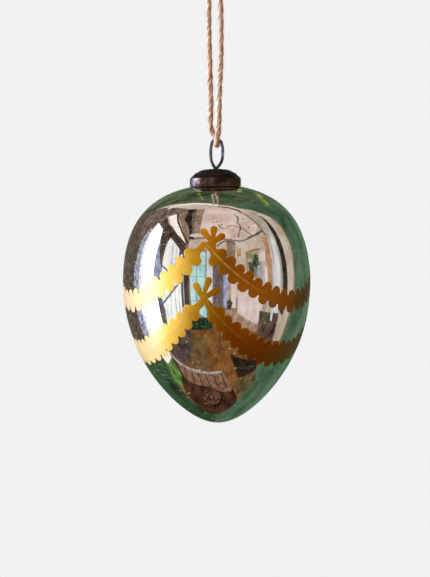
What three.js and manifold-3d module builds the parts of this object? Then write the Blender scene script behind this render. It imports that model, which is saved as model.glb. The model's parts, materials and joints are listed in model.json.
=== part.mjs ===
// Glass ornament: an egg-shaped blown ornament with a mirrored inside, a pressed metal cap,
// a sprung wire hanger and a knotted loop of jute twine. Two tiers of painted leaf garlands
// hang round the glass.
//
// Millimetres, +Z up, -Y towards the viewer. The origin is the hang point: the underside of
// the twine's knot, where a hook or branch carries the ornament.

import * as THREE from 'three';
import { mergeVertices } from 'three/addons/utils/BufferGeometryUtils.js';
import Module from 'manifold-3d';

const wasm = await Module();
wasm.setup();

// Driving dimensions

const seatGap = 0.3;                // clearance between pieces that touch on the real object

const twineDiameter = 3.0;
const hangDrop = 80;                // hang point down to the wire at the top of the eye
const knotHeight = 7.6;
const knotRadius = 4.9;
const knotTailLength = 13;

const wireDiameter = 1.3;
const eyeHeight = 13.85;            // top of the eye down to where the wire crosses itself
const eyeWidth = 5.7;               // between the wire's centres
const eyeShift = 0.85;              // the eye stands this far to the side of the cap's middle
const crossingShift = 0.3;
const crossingRise = 0.25;          // the wire crosses itself this far above the cap
const legLength = 23.5;             // crossing down to the ends of the legs

const capSheet = 0.5;
const domeHeight = 4.0;
const domePower = 3.1;              // 2 is a parabola, and more is flatter on top
const bandHeight = 4.0;
const bandStep = 0.35;              // the dome starts this far inside the band
const petalCount = 12;
const petalRelief = 0.2;

const neckRadius = 11.3;
const glassWall = 1.8;
const glassWidth = 89.4;
const glassTopHeight = 46.6;        // widest level up to where the egg would close
const glassTipDepth = 67.7;         // widest level down to the tip
const eggLean = [1, 0.17, 0.04, 0.168];  // the egg's fullness from tip to shoulder

// Garlands. Levels are heights above the glass's widest level.
const enamelEdge = 0.2;             // thickness of a garland at its rim
const enamelCrown = 0.35;           // and along its stem
const upperPeakLevel = 21;
const upperLowLevel = -7;
const upperStemWidth = 3.1;
const upperLeafReach = 5.1;         // from the stem's middle to a leaf's tip
const upperNotchReach = 2.3;        // and to the notch between two leaves
const upperFingerReach = 5.4;       // from the middle of a finial to the middle of a leaf's end
const lowerPeakLevel = -4.5;
const lowerLowLevel = -31.5;
const lowerStemWidth = 3.1;
const lowerLeafReach = 6.4;
const lowerNotchReach = 4.6;
const lowerFingerReach = 6.7;
const bareStem = 7.0;               // no leaves on a swag this close to a peak
const fingerWidth = 3.4;
const finialStemWidth = 2.8;
const swagsPerTier = 3;

// Turns are degrees from the side that faces the viewer, counted towards +X. A swag falls away
// from its first peak faster than it rises to the next. narrowing is how much smaller the leaves
// are near a peak. hubRise is the height of a finial's middle above the stem's middle, in half
// widths of the stem across it. A finial's fingers are a lean to the left and a share of their reach.
const tiers = [
  {
    name: 'upper', peakTurn: -6.5, peakLevel: upperPeakLevel, lowLevel: upperLowLevel,
    fallPower: 2.0, risePower: 1.9, stemHalfWidth: upperStemWidth / 2, leafReach: upperLeafReach,
    notchReach: upperNotchReach, narrowing: 0.97, leaves: 18,
    finialTurn: -2.1, hubRise: 1.5, fingerReach: upperFingerReach, fingers: [[44, 1.1], [-5, 1.02], [-63, 0.86]],
  },
  {
    name: 'lower', peakTurn: -7.2, peakLevel: lowerPeakLevel, lowLevel: lowerLowLevel,
    fallPower: 2.5, risePower: 1.8, stemHalfWidth: lowerStemWidth / 2, leafReach: lowerLeafReach,
    notchReach: lowerNotchReach, narrowing: 0.62, leaves: 18,
    finialTurn: -7.8, hubRise: 0.75, fingerReach: lowerFingerReach, fingers: [[32, 0.87], [-19, 1.16], [-66, 0.98]],
  },
];

// Worked out from the driving dimensions

const wireRadius = wireDiameter / 2;
const twineRadius = twineDiameter / 2;
const crownZ = -hangDrop;
const archRadius = wireRadius + seatGap + twineRadius;
const crossingZ = crownZ - eyeHeight;
const crossingOffset = wireRadius + seatGap / 2;
const capTopZ = crossingZ - crossingRise;
const bandTopZ = capTopZ - domeHeight;
const bandBottomZ = bandTopZ - bandHeight;
const bandInnerRadius = neckRadius + seatGap;
const bandOuterRadius = bandInnerRadius + capSheet;
const domeRadius = bandOuterRadius - bandStep;
const wireHoleRadius = crossingShift + crossingOffset + wireRadius + 2.5 * seatGap;
const boreRadius = neckRadius - glassWall;

// The egg: a round curve times a cubic that fills out the shoulder and draws in the tip

const lean = (t) => eggLean.reduce((sum, c, power) => sum + c * t ** power, 0);
const eggBulge = (t) => Math.sqrt(Math.max(0, 1 - t * t)) * lean(t);
const widestBulge = Math.max(...Array.from({ length: 401 }, (_, i) => eggBulge(i / 200 - 1)));

// Radius of the egg's outside at a height above the widest level. inset moves the whole
// outline inwards, which gives the inside of the wall.
function eggRadius(level, inset = 0) {
  const half = (glassTopHeight + glassTipDepth) / 2 - inset;
  const middle = (glassTopHeight - glassTipDepth) / 2;
  const t = Math.min(1, Math.max(-1, (level - middle) / half));
  return ((glassWidth / 2 - inset) * eggBulge(t)) / widestBulge;
}

// Height above the widest level where the egg's upper part has a given radius
function eggLevelAt(radius, inset = 0) {
  let low = 0;
  let high = glassTopHeight - inset;
  for (let i = 0; i < 50; i += 1) {
    const level = (low + high) / 2;
    if (eggRadius(level, inset) > radius) low = level;
    else high = level;
  }
  return (low + high) / 2;
}

const shoulderLevel = eggLevelAt(bandOuterRadius);
const glassZ = bandBottomZ - seatGap - shoulderLevel;

// Helpers

function part(name, geometry, colour, roughness, metalness) {
  const material = new THREE.MeshStandardMaterial({ color: colour, roughness, metalness });
  const mesh = new THREE.Mesh(geometry, material);
  mesh.name = name;
  return mesh;
}

function weld(geometry) {
  const bare = geometry.clone();
  bare.deleteAttribute('normal');
  bare.deleteAttribute('uv');
  return mergeVertices(bare, 1e-4);
}

// A lathe about Z from [radius, z] points that start and end on the axis or close on themselves
function revolve(points, segments) {
  const profile = points.map(([r, z]) => new THREE.Vector2(r, z));
  const lathe = new THREE.LatheGeometry(profile, segments);
  lathe.rotateX(Math.PI / 2);
  return weld(lathe);
}

function tube(points, diameter, sides, steps) {
  const section = new THREE.Shape();
  section.setFromPoints(Array.from({ length: sides }, (_, i) => {
    const a = (2 * Math.PI * i) / sides;
    return new THREE.Vector2((diameter / 2) * Math.cos(a), (diameter / 2) * Math.sin(a));
  }));
  const route = new THREE.CatmullRomCurve3(points.map((p) => new THREE.Vector3(...p)), false, 'centripetal');
  return weld(new THREE.ExtrudeGeometry(section, { steps, extrudePath: route, curveSegments: 1 }));
}

function toSolid(geometry) {
  const welded = weld(geometry);
  return new wasm.Manifold(new wasm.Mesh({
    numProp: 3,
    vertProperties: new Float32Array(welded.attributes.position.array),
    triVerts: new Uint32Array(welded.index.array),
  }));
}

function toGeometry(solid) {
  const mesh = solid.getMesh();
  const geometry = new THREE.BufferGeometry();
  geometry.setAttribute('position', new THREE.BufferAttribute(mesh.vertProperties, 3));
  geometry.setIndex(new THREE.BufferAttribute(mesh.triVerts, 1));
  return geometry;
}

// Glass: a blown shell with an open neck that stands up inside the cap

function makeGlass() {
  const half = (glassTopHeight + glassTipDepth) / 2;
  const middle = (glassTopHeight - glassTipDepth) / 2;
  const filletRadius = seatGap;
  const lipZ = bandTopZ - capSheet - seatGap;
  const outerRings = 19;
  const innerRings = 11;
  const eggPoints = (inset, topRadius, rings) => {
    const topLevel = eggLevelAt(topRadius, inset);
    const topAngle = Math.asin((topLevel - middle) / (half - inset));
    return Array.from({ length: rings + 1 }, (_, i) => {
      const angle = -Math.PI / 2 + ((topAngle + Math.PI / 2) * i) / rings;
      const level = middle + (half - inset) * Math.sin(angle);
      return [i === 0 ? 0 : eggRadius(level, inset), glassZ + level];
    });
  };
  const outside = eggPoints(0, neckRadius + filletRadius, outerRings);
  const inside = eggPoints(glassWall, boreRadius, innerRings);
  const lip = [
    [neckRadius, outside.at(-1)[1] + filletRadius],
    [neckRadius, lipZ - glassWall / 3],
    [neckRadius - glassWall / 4, lipZ],
    [boreRadius + glassWall / 4, lipZ],
    [boreRadius, lipZ - glassWall / 3],
  ];
  return revolve([...outside, ...lip, ...inside.reverse()], 48);
}

// Cap: a pressed dome with a ring of petals, a step and a straight band with a turned-out hem

function makeCap() {
  const domeRings = 7;
  const hem = capSheet / 2;
  const domeZ = (r) => bandTopZ + domeHeight * (1 - (r / domeRadius) ** domePower);
  const dome = Array.from({ length: domeRings + 1 }, (_, i) => {
    const r = wireHoleRadius + ((domeRadius - wireHoleRadius) * i) / domeRings;
    return [r, domeZ(r)];
  });
  const underDome = dome.slice(0, -1).map(([r, z]) => [r, z - capSheet]).reverse();
  const profile = [
    ...dome,
    [bandOuterRadius, bandTopZ],
    [bandOuterRadius, bandBottomZ + 2 * hem],
    [bandOuterRadius + hem, bandBottomZ + hem],
    [bandOuterRadius, bandBottomZ],
    [bandInnerRadius, bandBottomZ],
    [bandInnerRadius, bandTopZ - capSheet],
    ...underDome,
    dome[0],
  ];
  const cap = revolve(profile.reverse(), 4 * petalCount);
  const position = cap.attributes.position;
  const petalInner = wireHoleRadius + 0.8;
  const petalOuter = boreRadius - 0.8;
  for (let i = 0; i < position.count; i += 1) {
    const [x, y, z] = [position.getX(i), position.getY(i), position.getZ(i)];
    const across = (Math.hypot(x, y) - petalInner) / (petalOuter - petalInner);
    if (across > 0 && across < 1) {
      const petal = Math.cos(petalCount * Math.atan2(y, x));
      position.setZ(i, z + petalRelief * petal * Math.sin(Math.PI * across));
    }
  }
  return cap;
}

// Hanger: one wire, bent into an eye whose ends cross in the cap's hole and spring apart
// inside the neck

function makeHanger() {
  const legReach = boreRadius - wireRadius - seatGap - 0.1;
  const half = eyeWidth / 2;
  const arch = [60, 30].map((degrees) => {
    const a = (degrees * Math.PI) / 180;
    return [archRadius * Math.cos(a), archRadius * (1 - Math.sin(a))];
  });
  // Half of the wire, from the top of the eye to the end of a leg: [half width, depth]
  const halfWire = [
    ...arch,
    [0.98 * archRadius + 0.02 * half, archRadius],
    [0.972 * half, 0.29 * eyeHeight],
    [half, 0.45 * eyeHeight],
    [0.972 * half, 0.59 * eyeHeight],
    [0.85 * half, 0.73 * eyeHeight],
    [0.53 * half, 0.87 * eyeHeight],
    [0, eyeHeight],
    [-0.55 * legReach, eyeHeight + 0.2 * legLength],
    [-0.97 * legReach, eyeHeight + 0.38 * legLength],
    [-legReach, eyeHeight + 0.55 * legLength],
    [-0.95 * legReach, eyeHeight + 0.8 * legLength],
    [-0.85 * legReach, eyeHeight + legLength],
  ];
  const sideOfPlane = (depth) => {
    const t = Math.min(1, Math.max(0, (depth - 0.5 * eyeHeight) / (0.4 * eyeHeight)));
    return crossingOffset * t * t * (3 - 2 * t);
  };
  // The eye stands to one side, and the legs below the cap are back in the middle
  const shiftAt = (depth) => {
    if (depth < eyeHeight) return eyeShift + (crossingShift - eyeShift) * (depth / eyeHeight) ** 4;
    return crossingShift * Math.max(0, 1 - (depth - eyeHeight) / (0.38 * legLength));
  };
  const place = (side) => ([x, depth]) => [
    side * x + shiftAt(depth), side * sideOfPlane(depth), crownZ - depth,
  ];
  const left = halfWire.map(place(-1));
  const right = halfWire.map(place(1));
  return tube([...left.reverse(), [eyeShift, 0, crownZ], ...right], wireDiameter, 8, 80);
}

// Twine: one loop from the knot down through the eye and back up, and the knot with its tails

const twineRoute = [
  [2.6, 0, -0.3],
  [2.6, 0, -2.5],
  [3.4, 0, -14],
  [3.5, -0.1, -28],
  [3.2, -0.4, -42],
  [2.15, -1.1, -61],
  [1.8, -2.1, -74],
  [1.35, -2.7, -78],
  [0.95, -2.75, -80],
  [0.85, -1.95, -81.95],
  [0.85, 0, -82.75],
  [0.85, 1.95, -81.95],
  [0.85, 2.75, -80],
  [-0.35, 2.8, -77.9],
  [-1.8, 2.35, -75],
  [-1.8, 1.2, -61],
  [-2.05, 0.5, -42],
  [-2.2, 0.1, -28],
  [-2.1, 0, -14],
  [-1.9, 0, -2.5],
  [-1.9, 0, -0.3],
];

function makeTwineLoop() {
  return tube(twineRoute, twineDiameter, 8, 66);
}

function makeKnot() {
  const body = revolve([
    [0, 0],
    [0.8 * knotRadius, 0],
    [0.95 * knotRadius, 0.13 * knotHeight],
    [knotRadius, 0.4 * knotHeight],
    [0.9 * knotRadius, 0.7 * knotHeight],
    [0.62 * knotRadius, 0.93 * knotHeight],
    [0, knotHeight],
  ], 16);
  const tail = (side) => tube([
    [side * 1.6, 0, 0.6 * knotHeight],
    [side * 1.9, side * 0.5, knotHeight + 0.3 * knotTailLength],
    [side * 3.6, side * 1.2, knotHeight + 0.65 * knotTailLength],
    [side * 6.2, side * 1.6, knotHeight + 0.9 * knotTailLength],
  ], twineDiameter, 8, 6);
  const knot = toSolid(body).add(toSolid(tail(1))).add(toSolid(tail(-1)));
  return toGeometry(knot);
}

// Garlands: thin raised enamel that follows the glass

// Point above the glass at a turn in degrees and a level, a given height off its surface
function onGlass(turn, level, height) {
  const step = 0.05;
  const slope = (eggRadius(level + step) - eggRadius(level - step)) / (2 * step);
  const length = Math.hypot(1, slope);
  const radius = eggRadius(level) + height / length;
  const a = (turn * Math.PI) / 180;
  return [radius * Math.sin(a), -radius * Math.cos(a), glassZ + level - (height * slope) / length];
}

// Moves across the glass from a turn and level by millimetres sideways and up the surface
function across(turn, level, sideways, up) {
  const slope = (eggRadius(level + 0.05) - eggRadius(level - 0.05)) / 0.1;
  const newLevel = level + up / Math.hypot(1, slope);
  const radius = eggRadius((level + newLevel) / 2);
  return [turn + ((sideways / radius) * 180) / Math.PI, newLevel];
}

function closedMesh(vertices, triangles) {
  const geometry = new THREE.BufferGeometry();
  geometry.setAttribute('position', new THREE.Float32BufferAttribute(vertices.flat(), 3));
  geometry.setIndex(triangles.flat());
  return geometry;
}

// The height of a tier's stem at a share of the way from one peak to the next
function stemLevel(tier, share) {
  const fromPeak = 1 - Math.abs(2 * share - 1);
  const power = share < 0.5 ? tier.fallPower : tier.risePower;
  return tier.lowLevel + (tier.peakLevel - tier.lowLevel) * (1 - fromPeak) ** power;
}

// Millimetres sideways and upwards over the glass between two shares of a stem
function stemStep(tier, from, to) {
  const [low, high] = [stemLevel(tier, from), stemLevel(tier, to)];
  const [a, b] = [eggRadius(low), eggRadius(high)];
  const sideways = ((to - from) * (360 / swagsPerTier) * Math.PI * (a + b)) / 360;
  return [sideways, Math.sign(high - low) * Math.hypot(high - low, b - a)];
}

// The way in which a stem runs at a share, as a direction of length 1
function stemDirection(tier, share) {
  const [dx, dy] = stemStep(tier, Math.max(0, share - 0.002), Math.min(1, share + 0.002));
  return [dx / Math.hypot(dx, dy), dy / Math.hypot(dx, dy)];
}

// One swag, from peak to peak: a bare stem, the leaves, and a bare stem again. With a clearance
// it is the room that the swag takes up, for a finial to be cut by.
function makeSwag(tier, index, clearance = 0) {
  const span = 360 / swagsPerTier;
  const startTurn = tier.peakTurn + span * index;
  const shares = Array.from({ length: 601 }, (_, i) => i / 600);
  const runs = [0];
  for (let i = 1; i < shares.length; i += 1) {
    runs.push(runs[i - 1] + Math.hypot(...stemStep(tier, shares[i - 1], shares[i])));
  }
  const total = runs.at(-1);
  const shareAt = (run) => {
    const after = runs.findIndex((value) => value > run);
    const i = after < 0 ? shares.length - 2 : Math.max(0, after - 1);
    const portion = (run - runs[i]) / (runs[i + 1] - runs[i]);
    return shares[i] + portion * (shares[i + 1] - shares[i]);
  };
  const endMargin = seatGap - clearance;
  const pitch = (total - 2 * bareStem) / tier.leaves;
  const leafShape = [[0, 0], [0.13, 0.75], [0.35, 1], [0.65, 1], [0.87, 0.75]];
  const sections = [[endMargin, null], [0.5 * bareStem, null], [bareStem - 0.5, null]];
  for (let leaf = 0; leaf < tier.leaves; leaf += 1) {
    for (const [along, lobe] of leafShape) sections.push([bareStem + pitch * (leaf + along), lobe]);
  }
  sections.push([total - bareStem, 0]);
  for (const left of [bareStem - 0.5, 0.5 * bareStem, endMargin]) sections.push([total - left, null]);
  const vertices = [];
  for (const [run, lobe] of sections) {
    const share = shareAt(run);
    const [turn, level] = [startTurn + span * share, stemLevel(tier, share)];
    const [alongX, alongY] = stemDirection(tier, share);
    const sag = Math.min(1, 1.6 * (1 - Math.abs(2 * share - 1)));
    const size = tier.narrowing + (1 - tier.narrowing) * sag;
    const width = clearance + (lobe === null ? tier.stemHalfWidth
      : size * (tier.notchReach + (tier.leafReach - tier.notchReach) * lobe));
    // Below a peak two swags meet on the plane through it, and each stops short of that plane
    const toEnd = Math.min(run, total - run);
    const toPlane = (toEnd * alongX) / Math.max(0.05, Math.abs(alongY));
    const below = Math.min(width, Math.max(0.1, toPlane - endMargin));
    const above = Math.min(width, clearance + 0.55 * tier.stemHalfWidth + toEnd);
    for (const lift of [0, 1]) {
      const room = (2 * lift - 1) * clearance;
      const edge = seatGap + lift * enamelEdge + room;
      const crown = seatGap + lift * enamelCrown + room;
      const upper = across(turn, level, -alongY * above, alongX * above);
      const lower = across(turn, level, alongY * below, -alongX * below);
      vertices.push(onGlass(...upper, edge), onGlass(turn, level, crown), onGlass(...lower, edge));
    }
  }
  return stripSolid(vertices, sections.length);
}

// Joins sections of six points, three under and three on top, into a closed strip
function stripSolid(vertices, count) {
  const ring = [0, 1, 2, 5, 4, 3];
  const triangles = [];
  for (let i = 0; i < count - 1; i += 1) {
    for (let k = 0; k < 6; k += 1) {
      const [a, b] = [6 * i + ring[k], 6 * i + ring[(k + 1) % 6]];
      triangles.push([a, a + 6, b + 6], [a, b + 6, b]);
    }
  }
  const last = 6 * (count - 1);
  triangles.push([0, 1, 4], [0, 4, 3], [1, 2, 5], [1, 5, 4]);
  triangles.push([last, last + 4, last + 1], [last, last + 3, last + 4]);
  triangles.push([last + 1, last + 5, last + 2], [last + 1, last + 4, last + 5]);
  return closedMesh(vertices, triangles);
}

// A finial of three round-ended leaves on a short stem, which reaches down to the garland and is
// cut off there by the room that the swags take up
function makeFinial(tier, index) {
  const span = 360 / swagsPerTier;
  const turn = tier.finialTurn + span * index;
  const offset = (tier.finialTurn - tier.peakTurn) / span;
  const footLevel = stemLevel(tier, offset < 0 ? 1 + offset : offset);
  const hubLevel = footLevel + tier.hubRise * tier.stemHalfWidth / stemDirection(tier, 0)[0];
  const place = ([x, y], height) => {
    const [newTurn, newLevel] = across(turn, hubLevel, 0, y);
    return onGlass(...across(newTurn, newLevel, x, 0), height);
  };
  const stemHalf = finialStemWidth / 2;
  const fingerRadius = fingerWidth / 2;
  const slope = (eggRadius(hubLevel) - eggRadius(footLevel)) / (hubLevel - footLevel);
  const foot = -(hubLevel - footLevel) * Math.hypot(1, slope);
  const outline = [[0, foot - 0.4 * stemHalf], [stemHalf, foot], [stemHalf, -0.8 * stemHalf]];
  [...tier.fingers].reverse().forEach(([lean, share], number, fingers) => {
    const a = (lean * Math.PI) / 180;
    const centre = [-share * tier.fingerReach * Math.sin(a), share * tier.fingerReach * Math.cos(a)];
    for (const around of [-105, -60, -20, 20, 60, 105]) {
      const b = ((lean + around) * Math.PI) / 180;
      outline.push([centre[0] - fingerRadius * Math.sin(b), centre[1] + fingerRadius * Math.cos(b)]);
    }
    if (number < fingers.length - 1) {
      const notch = (((lean + fingers[number + 1][0]) / 2) * Math.PI) / 180;
      outline.push([-1.35 * fingerRadius * Math.sin(notch), 1.35 * fingerRadius * Math.cos(notch)]);
    }
  });
  outline.push([-stemHalf, -0.8 * stemHalf], [-stemHalf, foot]);
  // A middle point and two rings, under and on top, keep clear of the glass's curve
  const heights = [[0, enamelCrown], [0.5, enamelCrown], [1, enamelEdge]];
  const vertices = [place([0, 0], seatGap), place([0, 0], seatGap + enamelCrown)];
  for (const [share, thickness] of heights.slice(1)) {
    for (const [x, y] of outline) {
      const spot = [share * x, share * y];
      vertices.push(place(spot, seatGap), place(spot, seatGap + thickness));
    }
  }
  const count = outline.length;
  const triangles = [];
  for (let i = 0; i < count; i += 1) {
    const [a, b] = [2 + 2 * i, 2 + 2 * ((i + 1) % count)];
    const [c, d] = [a + 2 * count, b + 2 * count];
    triangles.push([1, a + 1, b + 1], [0, b, a]);
    triangles.push([a + 1, c + 1, d + 1], [a + 1, d + 1, b + 1], [a, d, c], [a, b, d]);
    triangles.push([c, d, d + 1], [c, d + 1, c + 1]);
  }
  const neighbour = (index + swagsPerTier - 1) % swagsPerTier;
  const finial = toSolid(closedMesh(vertices, triangles))
    .subtract(toSolid(makeSwag(tier, index, seatGap)))
    .subtract(toSolid(makeSwag(tier, neighbour, seatGap)));
  const largest = finial.decompose().sort((one, other) => other.volume() - one.volume())[0];
  return toGeometry(largest);
}

// Assembly

const ornament = new THREE.Group();
ornament.add(
  part('glass_body', makeGlass(), 0xb9aea6, 0.08, 1),
  part('metal_cap', makeCap(), 0x4a3a38, 0.42, 1),
  part('spring_hanger', makeHanger(), 0x55484c, 0.4, 1),
  part('twine_loop', makeTwineLoop(), 0xc08a63, 0.95, 0),
  part('twine_knot', makeKnot(), 0xc08a63, 0.95, 0),
);
for (const tier of tiers) {
  for (let i = 0; i < swagsPerTier; i += 1) {
    ornament.add(part(`${tier.name}_swag_${i + 1}`, makeSwag(tier, i), 0xc98a12, 0.35, 0.4));
    ornament.add(part(`${tier.name}_finial_${i + 1}`, makeFinial(tier, i), 0xc98a12, 0.35, 0.4));
  }
}

export default ornament;
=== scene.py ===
# %% [markdown]
# # A mirrored glass ornament on a loop of jute twine
#
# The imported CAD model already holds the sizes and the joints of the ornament. This script gives
# it its looks, one piece after another: the twine, the wire and the cap, the silvered glass and
# the painted garlands. At the end come the studio and the room that the mirror shows.
#
# Everything is in metres. The hang point is the origin, Z is up and the viewer stands at -Y.

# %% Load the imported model
import math
import random

import bpy
import numpy as np
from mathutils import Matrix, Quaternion, Vector, noise
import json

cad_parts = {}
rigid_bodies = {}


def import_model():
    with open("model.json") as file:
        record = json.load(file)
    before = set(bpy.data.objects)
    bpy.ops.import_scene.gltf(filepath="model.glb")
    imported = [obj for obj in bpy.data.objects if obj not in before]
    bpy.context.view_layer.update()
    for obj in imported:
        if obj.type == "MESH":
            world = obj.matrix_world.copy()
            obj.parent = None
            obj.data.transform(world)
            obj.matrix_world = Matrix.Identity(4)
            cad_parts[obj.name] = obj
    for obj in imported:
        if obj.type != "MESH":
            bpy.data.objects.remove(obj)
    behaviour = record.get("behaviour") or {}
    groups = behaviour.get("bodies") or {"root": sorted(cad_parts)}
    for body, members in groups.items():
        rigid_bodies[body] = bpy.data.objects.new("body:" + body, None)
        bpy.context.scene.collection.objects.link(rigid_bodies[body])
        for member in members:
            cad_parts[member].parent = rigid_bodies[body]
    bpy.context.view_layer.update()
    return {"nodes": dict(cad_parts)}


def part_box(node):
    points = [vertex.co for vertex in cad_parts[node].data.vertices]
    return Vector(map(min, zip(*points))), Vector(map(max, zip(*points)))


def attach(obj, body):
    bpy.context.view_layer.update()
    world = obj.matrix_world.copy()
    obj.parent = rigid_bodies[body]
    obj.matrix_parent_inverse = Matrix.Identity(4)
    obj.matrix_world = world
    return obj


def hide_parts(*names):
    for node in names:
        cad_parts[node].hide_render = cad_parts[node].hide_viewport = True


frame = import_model()
MM = 0.001
print("nodes:", len(frame["nodes"]))

# %% [markdown]
# ## Camera
#
# The photograph was taken with a longish lens about level with the cap, so the egg shows hardly
# any perspective. An 85 mm lens at 65 cm gives the same view. The ornament leans by less than a
# degree in the picture, which is the camera's roll: the ornament itself hangs plumb.

# %% Camera
lens_length = 85
sensor_length = 36                      # along the picture's long side
camera_distance = 0.652
camera_height = -0.100
aim_point = Vector((-0.0008, 0, -0.1509))
camera_roll = math.radians(-0.7)

fall = camera_height - aim_point.z
camera_place = Vector((aim_point.x, -math.sqrt(camera_distance**2 - fall**2), camera_height))
camera_data = bpy.data.cameras.new("camera")
camera_data.lens = lens_length
camera_data.sensor_width = sensor_length
camera = bpy.data.objects.new("camera", camera_data)
bpy.context.scene.collection.objects.link(camera)
bpy.context.scene.camera = camera
camera.location = camera_place
camera.rotation_mode = "QUATERNION"
facing = (aim_point - camera_place).to_track_quat("-Z", "Y")
camera.rotation_quaternion = facing @ Quaternion((0, 0, 1), camera_roll)
print("camera looks down by", round(math.degrees(math.asin(fall / camera_distance)), 1), "degrees")

# %% [markdown]
# ## Helpers for meshes
#
# Almost every piece here is a grid of points bent into shape: a strip round the axis is a lathe
# form, and a strip along a route is a tube. One function turns such a grid into faces, and one
# makes the object, shades it smooth and lets it ride on its CAD body.


# %% Helpers for meshes
def grid_faces(rows, columns, close=False, first=0):
    """Quads over a grid of points, rows after rows. close joins each row's last point to its first."""
    faces = []
    for i in range(rows - 1):
        for j in range(columns if close else columns - 1):
            k = (j + 1) % columns
            faces.append((first + i * columns + j, first + i * columns + k,
                          first + (i + 1) * columns + k, first + (i + 1) * columns + j))
    return faces


def make_mesh(name, points, faces, material):
    mesh = bpy.data.meshes.new(name)
    mesh.from_pydata([tuple(p) for p in points], [], faces)
    mesh.update()
    mesh.polygons.foreach_set("use_smooth", [True] * len(mesh.polygons))
    mesh.materials.append(material)
    made = bpy.data.objects.new(name, mesh)
    bpy.context.scene.collection.objects.link(made)
    return made


def make_piece(name, points, faces, material, body):
    made = make_mesh(name, points, faces, material)
    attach(made, body)
    return made


def store_shade(piece, name, values):
    """Keeps one grey value for each point, which a material reads by name."""
    layer = piece.data.color_attributes.new(name, "FLOAT_COLOR", "POINT")
    colours = np.repeat(np.asarray(values, dtype=float), 4)
    colours[3::4] = 1
    layer.data.foreach_set("color", colours)


def lathe(profile, segments, twist=None):
    """Turns a profile of (radius, z) round the Z axis. twist adds to z at each (radius, angle)."""
    points = []
    for r, z in profile:
        for j in range(segments):
            a = 2 * math.pi * j / segments
            lift = twist(r, z, a) if twist else 0
            points.append((r * math.sin(a), -r * math.cos(a), z + lift))
    return points, grid_faces(len(profile), segments, close=True)


print("a grid of 3 by 4 points has", len(grid_faces(3, 4)), "faces, or",
      len(grid_faces(3, 4, close=True)), "if its rows close")

# %% [markdown]
# ## Helpers for materials
#
# Colours are written as sRGB hex values, the way a paint chart or a picture editor gives them,
# and one function turns them into the linear values that the renderer works with. One small
# function adds a node, sets it and links its inputs, so each material below reads as a recipe.


# %% Helpers for materials
def colour(code):
    channels = [int(code[i:i + 2], 16) / 255 for i in (1, 3, 5)]
    linear = [c / 12.92 if c <= 0.04045 else ((c + 0.055) / 1.055) ** 2.4 for c in channels]
    return (*linear, 1)


def add_node(tree, kind, inputs=None, **settings):
    made = tree.nodes.new(kind)
    for name, value in settings.items():
        setattr(made, name, value)
    for name, value in (inputs or {}).items():
        if isinstance(value, bpy.types.NodeSocket):
            tree.links.new(value, made.inputs[name])
        else:
            made.inputs[name].default_value = value
    return made


def new_material(name):
    material = bpy.data.materials.new(name)
    material.use_nodes = True
    material.node_tree.nodes.clear()
    return material, material.node_tree


def set_ramp(ramp, stops):
    """Fills a colour ramp with stops of (position, hex colour)."""
    elements = ramp.color_ramp.elements
    while len(elements) < len(stops):
        elements.new(1)
    for element, (position, code) in zip(elements, stops):
        element.position = position
        element.color = colour(code)


print("the middle grey #808080 is", round(colour("#808080")[0], 3), "in linear light")

# %% [markdown]
# ## Jute
#
# Craft twine is three plies of jute yarn, spun from coarse, stiff fibres and twisted the other
# way. Up close it is dull and hairy. Its colour comes from values stored on the mesh, which run
# along each ply. On the twine they hold painted shade, darker furrows and lighter ridges between
# the plies, and a painted highlight down the twine's left side, towards the lamp. On the loose
# fibres they hold a random tone. A fine noise roughens the surface. A little sheen stands for the
# down that catches the light.

# %% Material: twisted jute
jute, tree = new_material("jute_twisted_twine")
fibre_width = 0.35 * MM                 # real fibres are 0.05 mm, drawn as coarse as shows
place = add_node(tree, "ShaderNodeTexCoord")
shade = add_node(tree, "ShaderNodeAttribute", attribute_name="fibre_tone_and_painted_light")
fine = add_node(tree, "ShaderNodeTexNoise", {
    "Vector": place.outputs["Object"], "Scale": 1 / (4 * fibre_width), "Detail": 4, "Roughness": 0.7})
both = add_node(tree, "ShaderNodeMix", {
    0: 0.35, 2: shade.outputs["Fac"], 3: fine.outputs["Fac"]})
# Pale top end of the ramp: painted highlight on the twine's left side. Dark bottom end: painted shade in
# the furrows.
ramp = add_node(tree, "ShaderNodeValToRGB", {"Fac": both.outputs[0]})
set_ramp(ramp, [(0.08, "#5A3A26"), (0.3, "#93623F"), (0.5, "#B98866"), (0.66, "#DCC8BE"),
                (0.84, "#F8F2F2")])
relief = add_node(tree, "ShaderNodeBump", {
    "Strength": 0.6, "Distance": 0.15 * MM, "Height": fine.outputs["Fac"]})
skin = add_node(tree, "ShaderNodeBsdfPrincipled", {
    "Base Color": ramp.outputs["Color"], "Roughness": 0.85, "Sheen Weight": 0.35,
    "Sheen Roughness": 0.5, "Normal": relief.outputs["Normal"]})
add_node(tree, "ShaderNodeOutputMaterial", {"Surface": skin.outputs["BSDF"]})
print("made", jute.name)

# %% [markdown]
# ## Route of the twine
#
# The twine is one loop: it comes down from the knot in front, turns up through the wire eye and
# goes back up behind the eye's left shoulder. The weight of the glass holds it taut, so the route
# is almost straight apart from the tight turn in the eye. The points are the CAD model's own,
# rounded off by a centripetal Catmull-Rom curve, which never overshoots at a tight turn.

# %% Route of the twine
twine_route = [Vector(p) * MM for p in (
    (2.6, 0, -0.3), (2.6, 0, -2.5), (3.4, 0, -14), (3.5, -0.1, -28), (3.2, -0.4, -42),
    (2.15, -1.1, -61), (1.8, -2.1, -74), (1.35, -2.7, -78), (0.95, -2.75, -80),
    (0.85, -1.95, -81.95), (0.85, 0, -82.75), (0.85, 1.95, -81.95), (0.85, 2.75, -80),
    (-0.35, 2.8, -77.9), (-1.8, 2.35, -75), (-1.8, 1.2, -61), (-2.05, 0.5, -42),
    (-2.2, 0.1, -28), (-2.1, 0, -14), (-1.9, 0, -2.5), (-1.9, 0, -0.3))]
twine_diameter = 3.0 * MM
curve_steps = 24                        # between two points of a route


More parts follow.
